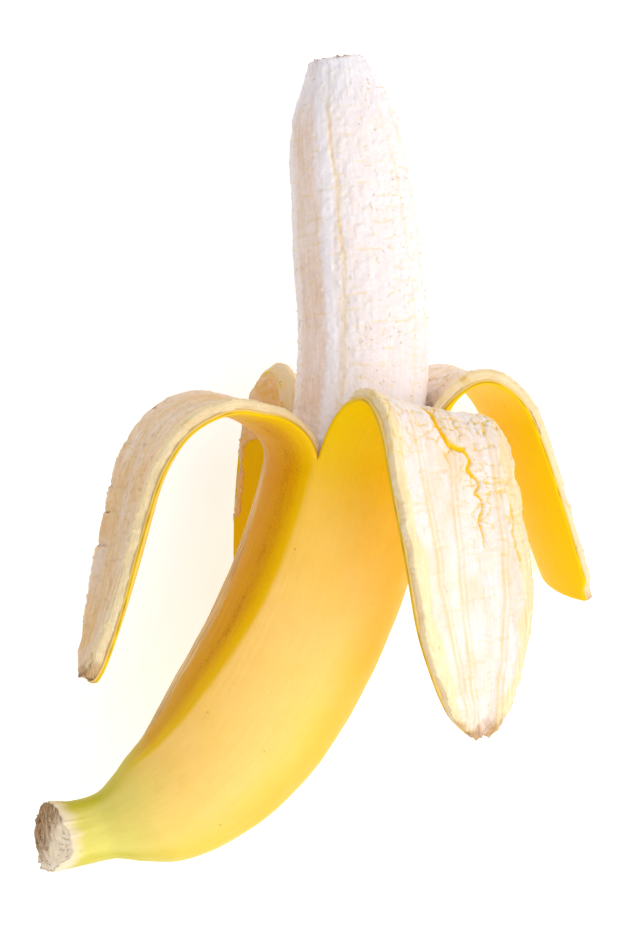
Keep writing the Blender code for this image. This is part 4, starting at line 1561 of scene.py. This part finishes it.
@dataclass(frozen=True)
class Studio:
    """Pale floor, soft lights and the camera that looks straight down."""

    camera_height: float = 1.0334
    lens: float = 167.1
    floor_half: float = 2.0
    floor_levels: tuple[float, float] = (-0.01, -0.0002)
    floor_glow: float = 0.50
    world_light: float = 0.50
    lamps: tuple[Lamp, ...] = (
        Lamp("key", (0.95, -0.15, 1.0), 1.3, 9.4, (1.0, 0.99, 0.975)),
        Lamp("front", (0.25, -1.2, 0.75), 1.0, 4.8),
        Lamp("overhead", (0.15, 0.0, 1.5), 1.5, 5.8),
    )

    def floor(self) -> None:
        """A large thin plate just under the origin."""
        half = self.floor_half
        plan = ((-half, -half), (half, -half), (half, half), (-half, half))
        corners = [(x, y, z) for z in self.floor_levels for x, y in plan]
        faces = [(3, 2, 1, 0), (4, 5, 6, 7), (0, 1, 5, 4), (1, 2, 6, 5), (2, 3, 7, 6), (3, 0, 4, 7)]
        mesh = bpy.data.meshes.new("floor")
        mesh.from_pydata(corners, [], faces)
        made = bpy.data.objects.new("floor", mesh)
        bpy.context.scene.collection.objects.link(made)
        finish = bpy.data.materials.new("pale_floor")
        finish.use_nodes = True
        inputs = finish.node_tree.nodes["Principled BSDF"].inputs
        inputs["Base Color"].default_value = (0.8, 0.8, 0.8, 1.0)
        inputs["Emission Color"].default_value = (1.0, 1.0, 1.0, 1.0)
        inputs["Emission Strength"].default_value = self.floor_glow
        inputs["Roughness"].default_value = 0.9
        mesh.materials.append(finish)

    def build(self) -> None:
        """Sets up floor, world, lights, camera and the plain view of colours."""
        scene = bpy.context.scene
        self.floor()
        world = bpy.data.worlds.new("soft_room")
        world.use_nodes = True
        background = world.node_tree.nodes["Background"].inputs
        background["Color"].default_value = (1.0, 1.0, 1.0, 1.0)
        background["Strength"].default_value = self.world_light
        scene.world = world
        for lamp in self.lamps:
            lamp.add()
        camera = bpy.data.cameras.new("camera")
        camera.lens = self.lens
        made = bpy.data.objects.new("camera", camera)
        made.location = (-DESIGN_CENTRE[0] * MM, -DESIGN_CENTRE[1] * MM, self.camera_height)
        scene.collection.objects.link(made)
        scene.camera = made
        scene.view_settings.view_transform = "Standard"


def main() -> None:
    """Builds every piece in order."""
    logging.basicConfig(level=logging.INFO, format="%(name)s: %(message)s")
    Studio().build()
    effects = Effects()
    register(PeelSkin().build(), Slot.PEEL, SkinFinish(effects).make(), "peel")
    pith = PithFinish(effects).make()
    # Each lining's beige is its share of painted shade, most on the left flap and least on the front.
    linings = (
        PithLining(FRONT, Crack.ZIGZAG, beige=0.05, seed=400, veins=(
            ((20, 10.6), (36, 10.6), (50, 9.0), (67, 7.3), (90, 4.0)),
            ((20, 1.5), (37, -0.3), (50, -2.6), (66, -3.6), (90, -2.2)),
            ((20, -8.5), (60, -9.0), (90, -4.5)),
        ), bands=(2.8, 3.0), crumbs=0.12),
        PithLining(LEFT, Crack.SLIGHT, beige=0.75, seed=500, veins=(
            ((14, -2.0), (50, -3.0), (88, -1.0)),
            ((14, 5.0), (50, 4.0), (88, 1.5)),
            ((14, -8.5), (50, -8.0), (88, -3.0)),
        ), bands=(0.6, 7.0)),
        PithLining(RIGHT, Crack.FOLDS, beige=0.2, seed=600, veins=(
            ((14, -4.0), (76, -3.0)),
            ((14, 5.0), (76, 4.0)),
        )),
        PithLining(BACK, Crack.FOLDS, beige=0.45, seed=700, veins=(
            ((14, -5.0), (90, -2.0)),
            ((14, 4.0), (90, 2.0)),
        ), lip=True, bottom_columns=70),
    )
    for lining in linings:
        register(lining.build(), Slot.PEEL, pith)
    register(Flesh().build(), Slot.FLESH, FleshFinish(effects).make(), "flesh")
    fibres = TornFibres(effects)
    fibres.on_flesh()
    fibres.on_top()
    fibres.on_stem()
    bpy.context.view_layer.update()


if __name__ == "__main__":
    main()
